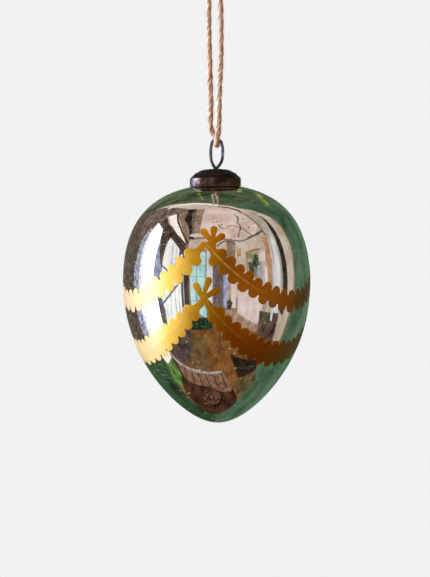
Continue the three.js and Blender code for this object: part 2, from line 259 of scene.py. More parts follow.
def smooth_route(points, spacing):
    """A centripetal Catmull-Rom curve through the points, resampled at an even spacing."""
    ends = [2 * points[0] - points[1], *points, 2 * points[-1] - points[-2]]
    fine_points = []
    for p0, p1, p2, p3 in zip(ends, ends[1:], ends[2:], ends[3:]):
        t1 = math.sqrt((p1 - p0).length)
        t2 = t1 + math.sqrt((p2 - p1).length)
        t3 = t2 + math.sqrt((p3 - p2).length)
        for i in range(curve_steps):
            t = t1 + (t2 - t1) * i / curve_steps
            a1 = p0.lerp(p1, t / t1)
            a2 = p1.lerp(p2, (t - t1) / (t2 - t1))
            a3 = p2.lerp(p3, (t - t2) / (t3 - t2))
            b1 = a1.lerp(a2, t / t2)
            b2 = a2.lerp(a3, (t - t1) / (t3 - t1))
            fine_points.append(b1.lerp(b2, (t - t1) / (t2 - t1)))
    fine_points.append(points[-1])
    lengths = np.cumsum([0] + [(b - a).length for a, b in zip(fine_points, fine_points[1:])])
    stations = np.linspace(0, lengths[-1], max(2, round(lengths[-1] / spacing) + 1))
    table = np.array([tuple(p) for p in fine_points])
    even = np.stack([np.interp(stations, lengths, table[:, k]) for k in range(3)], 1)
    return [Vector(p) for p in even]


def route_length(points):
    return sum((b - a).length for a, b in zip(points, points[1:]))


twine_line = smooth_route(twine_route, 0.34 * MM)
print("twine from knot to knot:", round(route_length(twine_line) * 1000), "mm")

# %% [markdown]
# ## Twisted twine
#
# A plain tube would look like wire. Real twine shows its three plies as slanting bumps, about one
# every 6 mm, so the mesh winds three thin tubes round the route. Each tube is a little uneven and
# furrowed along its own length, like spun fibres. Frames carried along the route keep the tubes
# from twisting where it bends. Each point also keeps a shade: painted shade in the furrows, and a
# painted highlight on the twine's left side, the side towards the lamp.


# %% Frames along the route
def carry_frames(line):
    """A tangent and two side directions at each point, turned as little as possible."""
    frames = []
    side = None
    for i in range(len(line)):
        along = (line[min(i + 1, len(line) - 1)] - line[max(i - 1, 0)]).normalized()
        if side is None:
            side = along.cross(Vector((0, 1, 0))).normalized()
        side = (side - along * side.dot(along)).normalized()
        frames.append((along, side, along.cross(side)))
    return frames


print("frames at", len(carry_frames(twine_line)), "points of the twine")

# %% Three plies
plies = 3
ply_pitch = 19 * MM                     # one turn of a ply round the twine
ply_share = 0.28                        # a ply's radius, as a share of the twine's width
ply_sides = 12
yarn_pitch = 7 * MM                     # one turn of the fibres round a ply
swell_length = 3.5 * MM
furrow_length = 5 * MM


def twine_width(z):
    """The twine is full where it carries the eye, and pulled a little thinner higher up."""
    return twine_diameter * float(np.interp(z, (-0.06, -0.035), (0.95, 0.86)))


def twist_twine(line, widths, seed):
    """Points, faces and fibre shades of a twine along a line, with its width at each point."""
    frames = carry_frames(line)
    steps = np.cumsum([0] + [(b - a).length for a, b in zip(line, line[1:])])
    points, faces, shades = [], [], []
    for ply in range(plies):
        first = len(points)
        for centre, (_, side, up), run, width in zip(line, frames, steps, widths):
            ply_radius = ply_share * width
            ply_offset = width / 2 - ply_radius
            a = 2 * math.pi * (run / ply_pitch + ply / plies)
            swell = 1 + 0.22 * noise.noise(Vector((run / swell_length, 3 * ply, seed)))
            middle = centre + (side * math.cos(a) + up * math.sin(a)) * ply_offset
            for j in range(ply_sides):
                b = 2 * math.pi * j / ply_sides
                spin = b - 2 * math.pi * run / yarn_pitch
                furrow = noise.noise(Vector((1.6 * math.cos(spin), 1.6 * math.sin(spin),
                                             run / furrow_length + 11 * ply + seed)))
                r = ply_radius * (swell + 0.12 * furrow)
                spot = middle + (side * math.cos(b) + up * math.sin(b)) * r
                # Painted highlight: points on the twine's left side are drawn paler, and the furrows
                # darker as painted shade.
                painted_twine_highlight = (centre.x - spot.x) / (width / 2)
                points.append(spot)
                shades.append(0.42 + 0.6 * furrow + 0.42 * painted_twine_highlight)
        faces += grid_faces(len(line), ply_sides, close=True, first=first)
        last = len(points) - ply_sides
        faces.append(tuple(first + j for j in reversed(range(ply_sides))))
        faces.append(tuple(last + j for j in range(ply_sides)))
    return points, faces, shades


# %% Twisted twine
points, faces, shades = twist_twine(twine_line, [twine_width(p.z) for p in twine_line], seed=2)
twine = make_piece("jute_twine", points, faces, jute, "twine")
store_shade(twine, "fibre_tone_and_painted_light", shades)
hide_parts("twine_loop")
print("twine:", len(faces), "faces")

# %% [markdown]
# ## Down on the twine
#
# Loose fibres stand off jute all along its length. They are what makes its outline soft, so they
# are real strands here, each a thin tapering tube of three sides that leaves the surface at a
# low angle and curls. They are drawn twice as thick as real ones, or they would not show.


# %% Down on the twine
fibre_rings, fibre_sides = 5, 3
loose_fibre_count = 1500


def grow_fibres(line, count, radius, reach, thickness, seed):
    """Loose fibres along a line: each starts on the surface and leans along and away from it."""
    dice = random.Random(seed)
    frames = carry_frames(line)
    points, faces, shades = [], [], []
    for _ in range(count):
        i = dice.randrange(2, len(line) - 2)
        along, side, up = frames[i]
        a = dice.uniform(0, 2 * math.pi)
        out = side * math.cos(a) + up * math.sin(a)
        drift = along * dice.choice((-1, 1))
        drift += (side * dice.uniform(-1, 1) + up * dice.uniform(-1, 1)) * 0.3
        place = line[i] + out * radius * 0.85
        length = dice.uniform(0.35, 1) * reach
        lift = dice.uniform(0.15, 0.75)
        curl = Vector((dice.uniform(-1, 1), dice.uniform(-1, 1), dice.uniform(-1, 1))) * 0.35
        tone = dice.uniform(0.45, 1)
        first = len(points)
        for step in range(fibre_rings):
            width = thickness / 2 * (1 - step / (fibre_rings + 0.5))
            for k in range(fibre_sides):
                b = 2 * math.pi * k / fibre_sides
                points.append(place + (out * math.cos(b) + along.cross(out) * math.sin(b)) * width)
                shades.append(tone)
            heading = (drift + out * lift + curl * step / (fibre_rings - 1)).normalized()
            place = place + heading * length / (fibre_rings - 1)
            lift *= 0.8
        faces += grid_faces(fibre_rings, fibre_sides, close=True, first=first)
    return points, faces, shades


points, faces, shades = grow_fibres(
    twine_line, loose_fibre_count, 0.42 * twine_diameter, 3.0 * MM, 0.1 * MM, seed=5)
down = make_piece("jute_down", points, faces, jute, "twine")
store_shade(down, "fibre_tone_and_painted_light", shades)
print("loose fibres:", loose_fibre_count, "of", len(faces) // loose_fibre_count, "faces each")

# %% [markdown]
# ## Knot and tails
#
# The two ends are tied together in one overhand knot, just above the photograph. A knot's route
# is hard to place by hand, but a polynomial gives it: x = t^3 - 3t, y = t^4 - 4t^2 and
# z = t^5 - 10t is a straight line with one overhand knot in it. Scaled down to the size of the
# CAD knot and pulled tight, it carries both strands side by side. The tails are cut short, and
# their ends fray.

# %% Route of the knot
knot_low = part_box("twine_knot")[0].z
knot_middle = Vector((0, 0, knot_low + 4.7 * MM))
knot_scale = Vector((1.15, 1.05, 0.33)) * MM
knot_reach = 1.98                       # the curve runs from -knot_reach to knot_reach
knot_steps = 60


def overhand(t):
    x, y, z = t**3 - 3 * t, t**4 - 4 * t**2 + 2, t**5 - 10 * t
    return knot_middle + Vector((y * knot_scale.y, x * knot_scale.x, z * knot_scale.z))


centres = [overhand(-knot_reach + 2 * knot_reach * i / knot_steps) for i in range(knot_steps + 1)]
print("the knot's route is", round(route_length(centres) / MM), "mm long")

# %% Knot and tails
strand_spread = 1.25 * MM
tail_length = 12 * MM


def join_mesh(whole, part):
    """Adds a part's points, faces and shades to the lists of a whole."""
    points, faces, shades = part
    whole[1].extend(tuple(len(whole[0]) + i for i in f) for f in faces)
    whole[0].extend(points)
    whole[2].extend(shades)


frames = carry_frames(centres)
knot_mesh, fray_mesh = ([], [], []), ([], [], [])
for side in (1, -1):
    strand = [c + across * strand_spread * side for c, (_, across, _) in zip(centres, frames)]
    lead = [Vector((side * 2.3, 0, -0.3)) * MM]
    spread = Vector((side * 0.32, side * 0.12, 1)) * tail_length
    flare = Vector((side * 2.4 * MM, 0, 0))
    tail = [strand[-1] + spread * s + flare * s * s for s in (0.35, 0.7, 1)]
    strand_line = smooth_route(lead + strand + tail, 0.4 * MM)
    widths = [0.86 * twine_diameter] * len(strand_line)
    join_mesh(knot_mesh, twist_twine(strand_line, widths, seed=20 + side))
    for stretch, count, reach, seed in ((strand_line, 130, 3.0 * MM, 40 + side),
                                        (strand_line[-8:], 60, 7.0 * MM, 47 + side)):
        join_mesh(fray_mesh, grow_fibres(
            stretch, count, 0.46 * twine_diameter, reach, 0.12 * MM, seed=seed))
knot = make_piece("overhand_knot", knot_mesh[0], knot_mesh[1], jute, "twine")
store_shade(knot, "fibre_tone_and_painted_light", knot_mesh[2])
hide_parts("twine_knot")
fray = make_piece("frayed_tails", fray_mesh[0], fray_mesh[1], jute, "twine")
store_shade(fray, "fibre_tone_and_painted_light", fray_mesh[2])
print("knot:", len(knot_mesh[1]), "faces, and", len(fray_mesh[1]), "faces of fibres")

# %% The twine as one piece
print("declared as one cord:", twine.name)

# %% [markdown]
# ## Aged wire
#
# The hanger is spring wire, darkened with the cap to look old: a brown-violet patina over steel
# that is rubbed to a bluish grey. It is a metal, so its colour sits in the reflections. A fine
# noise varies the patina and rubs it through in places.

# %% Material: darkened spring wire
wire_metal, tree = new_material("spring_wire_dark_patina")
place = add_node(tree, "ShaderNodeTexCoord")
patches = add_node(tree, "ShaderNodeTexNoise", {
    "Vector": place.outputs["Object"], "Scale": 1 / (4 * MM), "Detail": 5, "Roughness": 0.65})
ramp = add_node(tree, "ShaderNodeValToRGB", {"Fac": patches.outputs["Fac"]})
set_ramp(ramp, [(0.32, "#342C2E"), (0.5, "#564E58"), (0.68, "#9090A0")])
dull = add_node(tree, "ShaderNodeMapRange", {
    "Value": patches.outputs["Fac"], "From Min": 0.3, "From Max": 0.7, "To Min": 0.45, "To Max": 0.28})
relief = add_node(tree, "ShaderNodeBump", {
    "Strength": 0.25, "Distance": 0.05 * MM, "Height": patches.outputs["Fac"]})
skin = add_node(tree, "ShaderNodeBsdfPrincipled", {
    "Base Color": ramp.outputs["Color"], "Metallic": 1, "Roughness": dull.outputs["Result"],
    "Normal": relief.outputs["Normal"]})
add_node(tree, "ShaderNodeOutputMaterial", {"Surface": skin.outputs["BSDF"]})
print("made", wire_metal.name)

# %% [markdown]
# ## Sprung wire hanger
#
# One piece of wire makes the eye above the cap. Its ends cross in the cap's hole and spread
# apart inside the neck, where they grip the glass. The CAD solid has the right route but eight
# sides, so a round tube on the same route takes its place. The left side passes in front. The
# patina makes old wire look a tenth thicker than bare wire.

# %% Route of the wire
wire_diameter = 1.3 * MM
crown_z = -80 * MM
eye_height = 13.85 * MM
eye_width = 5.7 * MM
leg_length = 23.5 * MM
leg_reach = 8.45 * MM
crossing_offset = 0.8 * MM
eye_shift = 0.85 * MM                   # the eye stands to the side of the cap's middle
crossing_shift = 0.3 * MM
arch_radius = 2.45 * MM

half_wire = [(arch_radius * math.cos(a), arch_radius * (1 - math.sin(a)))
             for a in (math.radians(60), math.radians(30))]
half_wire += [
    (0.98 * arch_radius + 0.01 * eye_width, arch_radius),
    (0.486 * eye_width, 0.29 * eye_height), (0.5 * eye_width, 0.45 * eye_height),
    (0.486 * eye_width, 0.59 * eye_height), (0.425 * eye_width, 0.73 * eye_height),
    (0.265 * eye_width, 0.87 * eye_height), (0, eye_height),
    (-0.55 * leg_reach, eye_height + 0.2 * leg_length),
    (-0.97 * leg_reach, eye_height + 0.38 * leg_length),
    (-leg_reach, eye_height + 0.55 * leg_length),
    (-0.95 * leg_reach, eye_height + 0.8 * leg_length),
    (-0.85 * leg_reach, eye_height + leg_length)]


def depth_to_side(depth):
    t = min(1, max(0, (depth - 0.5 * eye_height) / (0.4 * eye_height)))
    return crossing_offset * t * t * (3 - 2 * t)


def depth_to_shift(depth):
    if depth < eye_height:
        return eye_shift + (crossing_shift - eye_shift) * (depth / eye_height) ** 4
    return crossing_shift * max(0, 1 - (depth - eye_height) / (0.38 * leg_length))


def on_wire(x, depth, half):
    """A point of one half of the wire: half is -1 for the left one and 1 for the right one."""
    return Vector((half * x + depth_to_shift(depth), half * depth_to_side(depth), crown_z - depth))


wire_route = [on_wire(x, depth, -1) for x, depth in reversed(half_wire)]
wire_route += [Vector((eye_shift, 0, crown_z))]
wire_route += [on_wire(x, depth, 1) for x, depth in half_wire]
wire_line = smooth_route(wire_route, 0.4 * MM)
print("wire:", round(route_length(wire_line) * 1000), "mm long")

# %% Sprung wire hanger
patina_share = 1.1                      # the wire's width with its patina, as a share of bare wire
wire_sides = 16


def round_tube(line, diameter, sides):
    """A round tube along a line, with slightly domed ends."""
    frames = carry_frames(line)
    points = []
    for centre, (_, side, up) in zip(line, frames):
        for j in range(sides):
            b = 2 * math.pi * j / sides
            points.append(centre + (side * math.cos(b) + up * math.sin(b)) * diameter / 2)
    faces = grid_faces(len(line), sides, close=True)
    for end, outward in ((0, -1), (len(line) - 1, 1)):
        points.append(line[end] + frames[end][0] * outward * diameter * 0.2)
        ring = [end * sides + j for j in range(sides)][::outward]
        faces += [(a, b, len(points) - 1) for a, b in zip(ring, ring[1:] + ring[:1])]
    return points, faces


points, faces = round_tube(wire_line, patina_share * wire_diameter, wire_sides)
hanger = make_piece("sprung_hanger", points, faces, wire_metal, "hanger")
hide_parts("spring_hanger")
print("hanger:", len(faces), "faces")

# %% [markdown]
# ## Aged cap metal
#
# The cap is thin pressed sheet with the same old-looking finish: dark brown with a violet tinge,
# almost black in the embossing, and rubbed back to a yellowish metal at the hem. The band is drawn
# paler towards its left as a painted highlight, and the dome is browner than the band. It reflects
# in broad soft streaks, so it is a metal of medium roughness.

# %% Material: pressed cap with an aged finish and a painted highlight
cap_hem_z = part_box("metal_cap")[0].z
cap_metal, tree = new_material("pressed_sheet_patina_and_painted_highlight")
place = add_node(tree, "ShaderNodeTexCoord")
patches = add_node(tree, "ShaderNodeTexNoise", {
    "Vector": place.outputs["Object"], "Scale": 1 / (5 * MM), "Detail": 6, "Roughness": 0.7})
split = add_node(tree, "ShaderNodeSeparateXYZ", {"Vector": place.outputs["Object"]})
# Painted highlight: towards the band's left side the colour is pushed up the ramp to its pale lilac end.
painted_left_highlight = add_node(tree, "ShaderNodeMapRange", {
    "Value": split.outputs["X"], "From Min": -11.5 * MM, "From Max": -4 * MM,
    "To Min": 0.22, "To Max": -0.1})
patina = add_node(tree, "ShaderNodeMath", {
    0: patches.outputs["Fac"], 1: painted_left_highlight.outputs["Result"]}, operation="ADD")
ramp = add_node(tree, "ShaderNodeValToRGB", {"Fac": patina.outputs[0]})
set_ramp(ramp, [(0.2, "#1C100C"), (0.4, "#38241C"), (0.52, "#54423E"), (0.64, "#8E8088"),
                (0.76, "#CCC4D2")])
deep = add_node(tree, "ShaderNodeAttribute", attribute_name="relief_shade")
embossed = add_node(tree, "ShaderNodeMix", {
    0: deep.outputs["Fac"], 6: colour("#1D1613"), 7: ramp.outputs["Color"]}, data_type="RGBA")
dome_share = add_node(tree, "ShaderNodeMapRange", {
    "Value": split.outputs["Z"], "From Min": cap_hem_z + 4.4 * MM, "From Max": cap_hem_z + 5.6 * MM,
    "To Min": 0, "To Max": 0.75})
browned = add_node(tree, "ShaderNodeMix", {
    0: dome_share.outputs["Result"], 6: embossed.outputs[2], 7: colour("#2E221C")}, data_type="RGBA")
ragged = add_node(tree, "ShaderNodeMath", {
    0: patches.outputs["Fac"], 1: 0.8 * MM, 2: split.outputs["Z"]}, operation="MULTIPLY_ADD")
rubbed = add_node(tree, "ShaderNodeMapRange", {
    "Value": ragged.outputs[0], "From Min": cap_hem_z + 0.95 * MM, "From Max": cap_hem_z + 0.7 * MM,
    "To Min": 0, "To Max": 0.3})
metal_colour = add_node(tree, "ShaderNodeMix", {
    0: rubbed.outputs["Result"], 6: browned.outputs[2], 7: colour("#8A7A48")}, data_type="RGBA")
dull = add_node(tree, "ShaderNodeMapRange", {
    "Value": patches.outputs["Fac"], "From Min": 0.3, "From Max": 0.7, "To Min": 0.44, "To Max": 0.32})
relief = add_node(tree, "ShaderNodeBump", {
    "Strength": 0.3, "Distance": 0.08 * MM, "Height": patches.outputs["Fac"]})
skin = add_node(tree, "ShaderNodeBsdfPrincipled", {
    "Base Color": metal_colour.outputs[2], "Metallic": 1, "Roughness": dull.outputs["Result"],
    "Normal": relief.outputs["Normal"]})
add_node(tree, "ShaderNodeOutputMaterial", {"Surface": skin.outputs["BSDF"]})
print("made", cap_metal.name)

# %% [markdown]
# ## Pressed cap
#
# A press stamps the cap from one disc: a domed top embossed with twelve petals between two raised
# rings, a small step, and a straight band with its edge rolled outwards. The outline is a lathe
# profile, and the embossing lifts the dome by a formula of the radius and the angle. The same
# formula gives the shade that darkens the hollows.

# %% Dome and its embossing
dome_height = 4.0 * MM
band_height = 4.0 * MM
sheet = 0.5 * MM
hem = sheet / 2                         # radius of the rolled edge
hole_radius = 2.5 * MM
dome_radius = 11.75 * MM
band_radius = 12.1 * MM
inner_radius = 11.6 * MM
dome_foot_z = cap_hem_z + band_height
petal_count = 12
petals_from, petals_to = 3.0 * MM, 8.6 * MM
hollow_depth = 0.22 * MM                # embossing lower than this is drawn darker
dome_rows = 46


def dome_z(r):
    return dome_foot_z + dome_height * (1 - (r / dome_radius) ** 3.1)


def bump(value, middle, width):
    return math.exp(-((value - middle) / width) ** 2)


def emboss(r, a):
    """Height of the embossing on the dome, about 0.3 mm at most."""
    petals = abs(math.cos(petal_count / 2 * a)) ** 0.7
    share = (r - petals_from) / (petals_to - petals_from)
    field = math.sin(math.pi * share) ** 0.5 if 0 < share < 1 else 0
    rings = 0.28 * bump(r, 2.75 * MM, 0.45 * MM) + 0.3 * bump(r, 9.5 * MM, 0.5 * MM)
    return (0.26 * petals * field + rings) * MM


def lift_dome(r, z, a):
    on_dome = r <= dome_radius and z > dome_foot_z - sheet / 2
    return emboss(r, a) if on_dome else 0


dome_radii = [hole_radius + (dome_radius - hole_radius) * i / dome_rows for i in range(dome_rows + 1)]
print("embossed", round(max(emboss(r, 0) for r in dome_radii) / MM, 2), "mm at most")

# %% Outline of the cap
outside = [(r, dome_z(r)) for r in dome_radii]
outside += [(dome_radius + 0.15 * MM, dome_foot_z - 0.02 * MM),
            (band_radius - 0.05 * MM, dome_foot_z - 0.05 * MM),
            (band_radius, dome_foot_z - 0.25 * MM),
            (band_radius + 0.06 * MM, cap_hem_z + 0.5 * band_height),
            (band_radius, cap_hem_z + 2.2 * hem)]
outside += [(band_radius + hem * math.cos(a), cap_hem_z + hem + hem * math.sin(a))
            for a in (math.radians(d) for d in range(60, -91, -30))]
inside = [(inner_radius, cap_hem_z + 0.1 * MM), (inner_radius, dome_foot_z - sheet)]
inside += [(r, dome_z(r) - sheet) for r in dome_radii[::-6]]
profile = outside + inside + [outside[0]]
print("the cap's outline has", len(profile), "points")

# %% Pressed cap
round_segments = 144                    # round the axis, for the cap and the glass
points, faces = lathe(profile, round_segments, lift_dome)
cap = make_piece("pressed_cap", points, [f[::-1] for f in faces], cap_metal, "cap")

reliefs = []
for r, z in profile:
    has_relief = hole_radius < r < 0.98 * dome_radius and z > dome_foot_z
    for j in range(round_segments):
        height = lift_dome(r, z, 2 * math.pi * j / round_segments)
        reliefs.append(min(1, height / hollow_depth) if has_relief else 1)
store_shade(cap, "relief_shade", reliefs)
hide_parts("metal_cap")
print("cap:", len(faces), "faces")

# %% [markdown]
# ## Silvered glass
#
# Mercury glass is clear soda-lime glass blown into a mould and silvered on the inside. What one
# sees is a warm silver mirror under a glossy coat of slightly green glass. So the base is a
# metal, and the coat layer is the glass wall: its tint deepens at grazing angles, as real glass
# looks greener along its rim. The silvering is old-looking: pinholes, cloudy patches, stray
# flecks of gold paint and fine scratches round the belly.
#
# Pinholes and flecks are both dots of a Voronoi pattern. The distance to a cell's middle gives a
# dot, and a random value gives each dot its size, so that some cells stay empty. The scratches
# are a noise that is stretched level, because the ornament was turned while it was rubbed.

# %% Material: silvered glass, the silver and its pinholes
egg_tip = 67.7 * MM                     # widest level down to the tip
glass_low, glass_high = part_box("glass_body")
widest_z = glass_low.z + egg_tip
silvered, tree = new_material("blown_glass_silvered_inside")
place = add_node(tree, "ShaderNodeTexCoord")
split = add_node(tree, "ShaderNodeSeparateXYZ", {"Vector": place.outputs["Object"]})
clouds = add_node(tree, "ShaderNodeTexNoise", {
    "Vector": place.outputs["Object"], "Scale": 1 / (18 * MM), "Detail": 6, "Roughness": 0.62})
pores = add_node(tree, "ShaderNodeTexVoronoi", {
    "Vector": place.outputs["Object"], "Scale": 1 / (2.6 * MM), "Randomness": 1})
pore_chance = add_node(tree, "ShaderNodeTexNoise", {
    "Vector": place.outputs["Object"], "Scale": 1 / (9 * MM), "Detail": 2})
pore_size = add_node(tree, "ShaderNodeMapRange", {
    "Value": pore_chance.outputs["Fac"], "From Min": 0.52, "From Max": 0.75, "To Min": 0, "To Max": 0.16})
pore_edge = add_node(tree, "ShaderNodeMath", {
    0: pore_size.outputs["Result"], 1: pores.outputs["Distance"]}, operation="SUBTRACT")
pore = add_node(tree, "ShaderNodeMapRange", {
    "Value": pore_edge.outputs[0], "From Min": -0.03, "From Max": 0.03, "To Min": 0, "To Max": 0.8})
silver = add_node(tree, "ShaderNodeValToRGB", {"Fac": clouds.outputs["Fac"]})
set_ramp(silver, [(0.3, "#D2C5BE"), (0.55, "#DFD4CE"), (0.75, "#E8E0DB")])
with_pores = add_node(tree, "ShaderNodeMix", {
    0: pore.outputs["Result"], 6: silver.outputs["Color"], 7: colour("#4B3F33")}, data_type="RGBA")
print("silver and pinholes made")

# %% Material: silvered glass, flecks of gold paint
flecks = add_node(tree, "ShaderNodeTexVoronoi", {
    "Vector": place.outputs["Object"], "Scale": 1 / (2.7 * MM), "Randomness": 1})
fleck_pick = add_node(tree, "ShaderNodeSeparateColor", {"Color": flecks.outputs["Color"]})
fleck_size = add_node(tree, "ShaderNodeMapRange", {
    "Value": fleck_pick.outputs["Red"], "From Min": 0.4, "From Max": 1, "To Min": 0, "To Max": 0.2})
fleck_share = add_node(tree, "ShaderNodeMapRange", {
    "Value": split.outputs["Z"], "From Min": widest_z - 6 * MM, "From Max": widest_z + 30 * MM,
    "To Min": 1, "To Max": 0.3})
fleck_reach = add_node(tree, "ShaderNodeMath", {
    0: fleck_size.outputs["Result"], 1: fleck_share.outputs["Result"]}, operation="MULTIPLY")
fleck_edge = add_node(tree, "ShaderNodeMath", {
    0: fleck_reach.outputs[0], 1: flecks.outputs["Distance"]}, operation="SUBTRACT")
fleck = add_node(tree, "ShaderNodeMapRange", {
    "Value": fleck_edge.outputs[0], "From Min": -0.02, "From Max": 0.02, "To Min": 0, "To Max": 0.9})
with_flecks = add_node(tree, "ShaderNodeMix", {
    0: fleck.outputs["Result"], 6: with_pores.outputs[2], 7: colour("#D9A53C")}, data_type="RGBA")
print("flecks made")

# %% Material: silvered glass, scratches and surface
stretch = add_node(tree, "ShaderNodeMapping", {
    "Vector": place.outputs["Object"], "Scale": (1 / (14 * MM), 1 / (14 * MM), 1 / (0.5 * MM))})
scratches = add_node(tree, "ShaderNodeTexNoise", {
    "Vector": stretch.outputs["Vector"], "Scale": 1, "Detail": 3, "Roughness": 0.55})
scratched = add_node(tree, "ShaderNodeMapRange", {
    "Value": scratches.outputs["Fac"], "From Min": 0.6, "From Max": 0.7, "To Min": 0, "To Max": 1})
rubbed_area = add_node(tree, "ShaderNodeMapRange", {
    "Value": clouds.outputs["Fac"], "From Min": 0.45, "From Max": 0.65, "To Min": 0, "To Max": 0.2})
haze = add_node(tree, "ShaderNodeMath", {
    0: scratched.outputs["Result"], 1: rubbed_area.outputs["Result"], 2: 0.025},
    operation="MULTIPLY_ADD")
white_scratch = add_node(tree, "ShaderNodeMath", {
    0: scratched.outputs["Result"], 1: rubbed_area.outputs["Result"]}, operation="MULTIPLY")
white_share = add_node(tree, "ShaderNodeMath", {
    0: white_scratch.outputs[0], 1: 1.6}, operation="MULTIPLY")
with_scratches = add_node(tree, "ShaderNodeMix", {
    0: white_share.outputs[0], 6: with_flecks.outputs[2], 7: colour("#E6E6F0")}, data_type="RGBA")
dull_part = add_node(tree, "ShaderNodeMath", {
    0: fleck.outputs["Result"], 1: white_share.outputs[0]}, operation="MAXIMUM")
mirror = add_node(tree, "ShaderNodeMath", {
    0: 1.0, 1: dull_part.outputs[0]}, operation="SUBTRACT", use_clamp=True)
skin = add_node(tree, "ShaderNodeBsdfPrincipled", {
    "Base Color": with_scratches.outputs[2], "Metallic": mirror.outputs[0],
    "Roughness": haze.outputs[0], "Coat Weight": 1, "Coat Roughness": 0.12, "Coat IOR": 1.5,
    "Coat Tint": colour("#E4EDE4")})
add_node(tree, "ShaderNodeOutputMaterial", {"Surface": skin.outputs["BSDF"]})
print("made", silvered.name)

# %% [markdown]
# ## Blown egg
#
# A mirror shows every facet of a coarse mesh, so the egg needs a fine one. Its outline is a round
# curve times a cubic: the cubic fills out the shoulder and draws in the tip, and the result is
# smooth everywhere. The same values as in the CAD model give the same egg. Wall, neck and lip
# are there too, because the cap comes off.

# %% Outline of the egg
glass_width = 89.4 * MM
egg_top = 46.6 * MM                     # widest level up to where the egg would close
egg_lean = (1, 0.17, 0.04, 0.168)
glass_wall = 1.8 * MM
neck_radius = 11.3 * MM
bore_radius = neck_radius - glass_wall


def bulge(t):
    t = np.clip(t, -1, 1)
    return np.sqrt(1 - t**2) * sum(c * t**power for power, c in enumerate(egg_lean))


widest_bulge = float(np.max(bulge(np.linspace(-1, 1, 2001))))
half_height = (egg_top + egg_tip) / 2
middle_level = (egg_top - egg_tip) / 2


def egg_radius(level, inset=0.0):
    """Radius of the glass at a height above its widest level. inset gives the inside of the wall."""
    share = (level - middle_level) / (half_height - inset)
    return float((glass_width / 2 - inset) * bulge(share) / widest_bulge)


def egg_profile(inset, top_radius, rings):
    """Rows of (radius, z) from the tip up to where the radius is top_radius, found by halving."""
    half = half_height - inset
    low, high = 0.0, egg_top - inset
    for _ in range(50):
        level = (low + high) / 2
        low, high = (level, high) if egg_radius(level, inset) > top_radius else (low, level)
    top_angle = math.asin((level - middle_level) / half)
    rows = []
    for i in range(rings + 1):
        angle = -math.pi / 2 + (top_angle + math.pi / 2) * i / rings
        height = middle_level + half * math.sin(angle)
        rows.append((max(1e-6, egg_radius(height, inset)), widest_z + height))
    return rows


print("glass:", round(2 * egg_radius(0) / MM, 1), "mm wide at its widest level")

# %% Blown egg
neck_fillet = 0.8 * MM
skin_rows = egg_profile(0, neck_radius + neck_fillet, 130)
corner_z = skin_rows[-1][1]
rounding = [(neck_radius + neck_fillet * (1 - math.sin(a)), corner_z + neck_fillet * (1 - math.cos(a)))
            for a in (math.radians(d) for d in (30, 60, 90))]
rim = glass_wall / 2
lip = [(neck_radius - rim * (1 - math.cos(a)), glass_high.z - rim * (1 - math.sin(a)))
       for a in (math.radians(d) for d in range(0, 181, 30))]
inner_rows = egg_profile(glass_wall, bore_radius, 40)
points, faces = lathe(skin_rows + rounding + lip + inner_rows[::-1], round_segments)
egg = make_piece("silvered_egg", points, faces, silvered, "glass")
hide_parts("glass_body")
print("egg:", len(faces), "faces, widest at z", round(widest_z * 1000, 1), "mm")

# %% [markdown]
# ## Amber enamel
#
# The garlands are see-through amber paint on the mirror. Where the paint is thin it scatters the
# light, and looks cream to yellow like frosted glass. Where it is thick, light passes it twice
# on its way to the mirror and back, so it looks like dark amber metal with a soft shine. One
# value, called the thickness, therefore drives three things: the colour, how metallic the paint
# is and how strong its glossy coat is. A mottle varies it. On top of that it grows from left to
# right across the egg: that is painted light, pale cream on the left towards the lamp, and
# painted shade, dark amber, on the right. The paint is thinner and paler along its rim, and a vein
# is drawn down the stem.

# %% Material: amber enamel
enamel, tree = new_material("glass_paint_amber")
place = add_node(tree, "ShaderNodeTexCoord")
thin = add_node(tree, "ShaderNodeAttribute", attribute_name="paint_shade")
mottle = add_node(tree, "ShaderNodeTexNoise", {
    "Vector": place.outputs["Object"], "Scale": 1 / (6 * MM), "Detail": 5, "Roughness": 0.6})
split = add_node(tree, "ShaderNodeSeparateXYZ", {"Vector": place.outputs["Object"]})
# Painted light and shade: the paint is drawn pale and glossy on the egg's left and dark amber on its
# right.
painted_light_left_to_right = add_node(tree, "ShaderNodeMapRange", {
    "Value": split.outputs["X"], "From Min": -44 * MM, "From Max": 44 * MM,
    "To Min": -0.06, "To Max": 0.94})
thickness = add_node(tree, "ShaderNodeMath", {
    0: mottle.outputs["Fac"], 1: 0.12, 2: painted_light_left_to_right.outputs["Result"]},
    operation="MULTIPLY_ADD")
amber = add_node(tree, "ShaderNodeValToRGB", {"Fac": thickness.outputs[0]})
set_ramp(amber, [(0.02, "#E2C9A2"), (0.1, "#E6CB94"), (0.18, "#E8CC92"), (0.25, "#EEC454"),
                 (0.33, "#DEAC3C"), (0.39, "#C68A0A"), (0.48, "#AE7202"), (0.56, "#925602"),
                 (1.0, "#824A02")])
with_rim = add_node(tree, "ShaderNodeMix", {
    0: thin.outputs["Fac"], 6: amber.outputs["Color"], 7: colour("#E8C060")}, data_type="RGBA")
gloss = add_node(tree, "ShaderNodeMapRange", {
    "Value": thickness.outputs[0], "From Min": 0.1, "From Max": 0.42, "To Min": 0.4, "To Max": 0})
solid = add_node(tree, "ShaderNodeMapRange", {
    "Value": thickness.outputs[0], "From Min": 0.18, "From Max": 0.48, "To Min": 0.14, "To Max": 0.9})
dull = add_node(tree, "ShaderNodeMapRange", {
    "Value": mottle.outputs["Fac"], "From Min": 0.3, "From Max": 0.7, "To Min": 0.32, "To Max": 0.42})
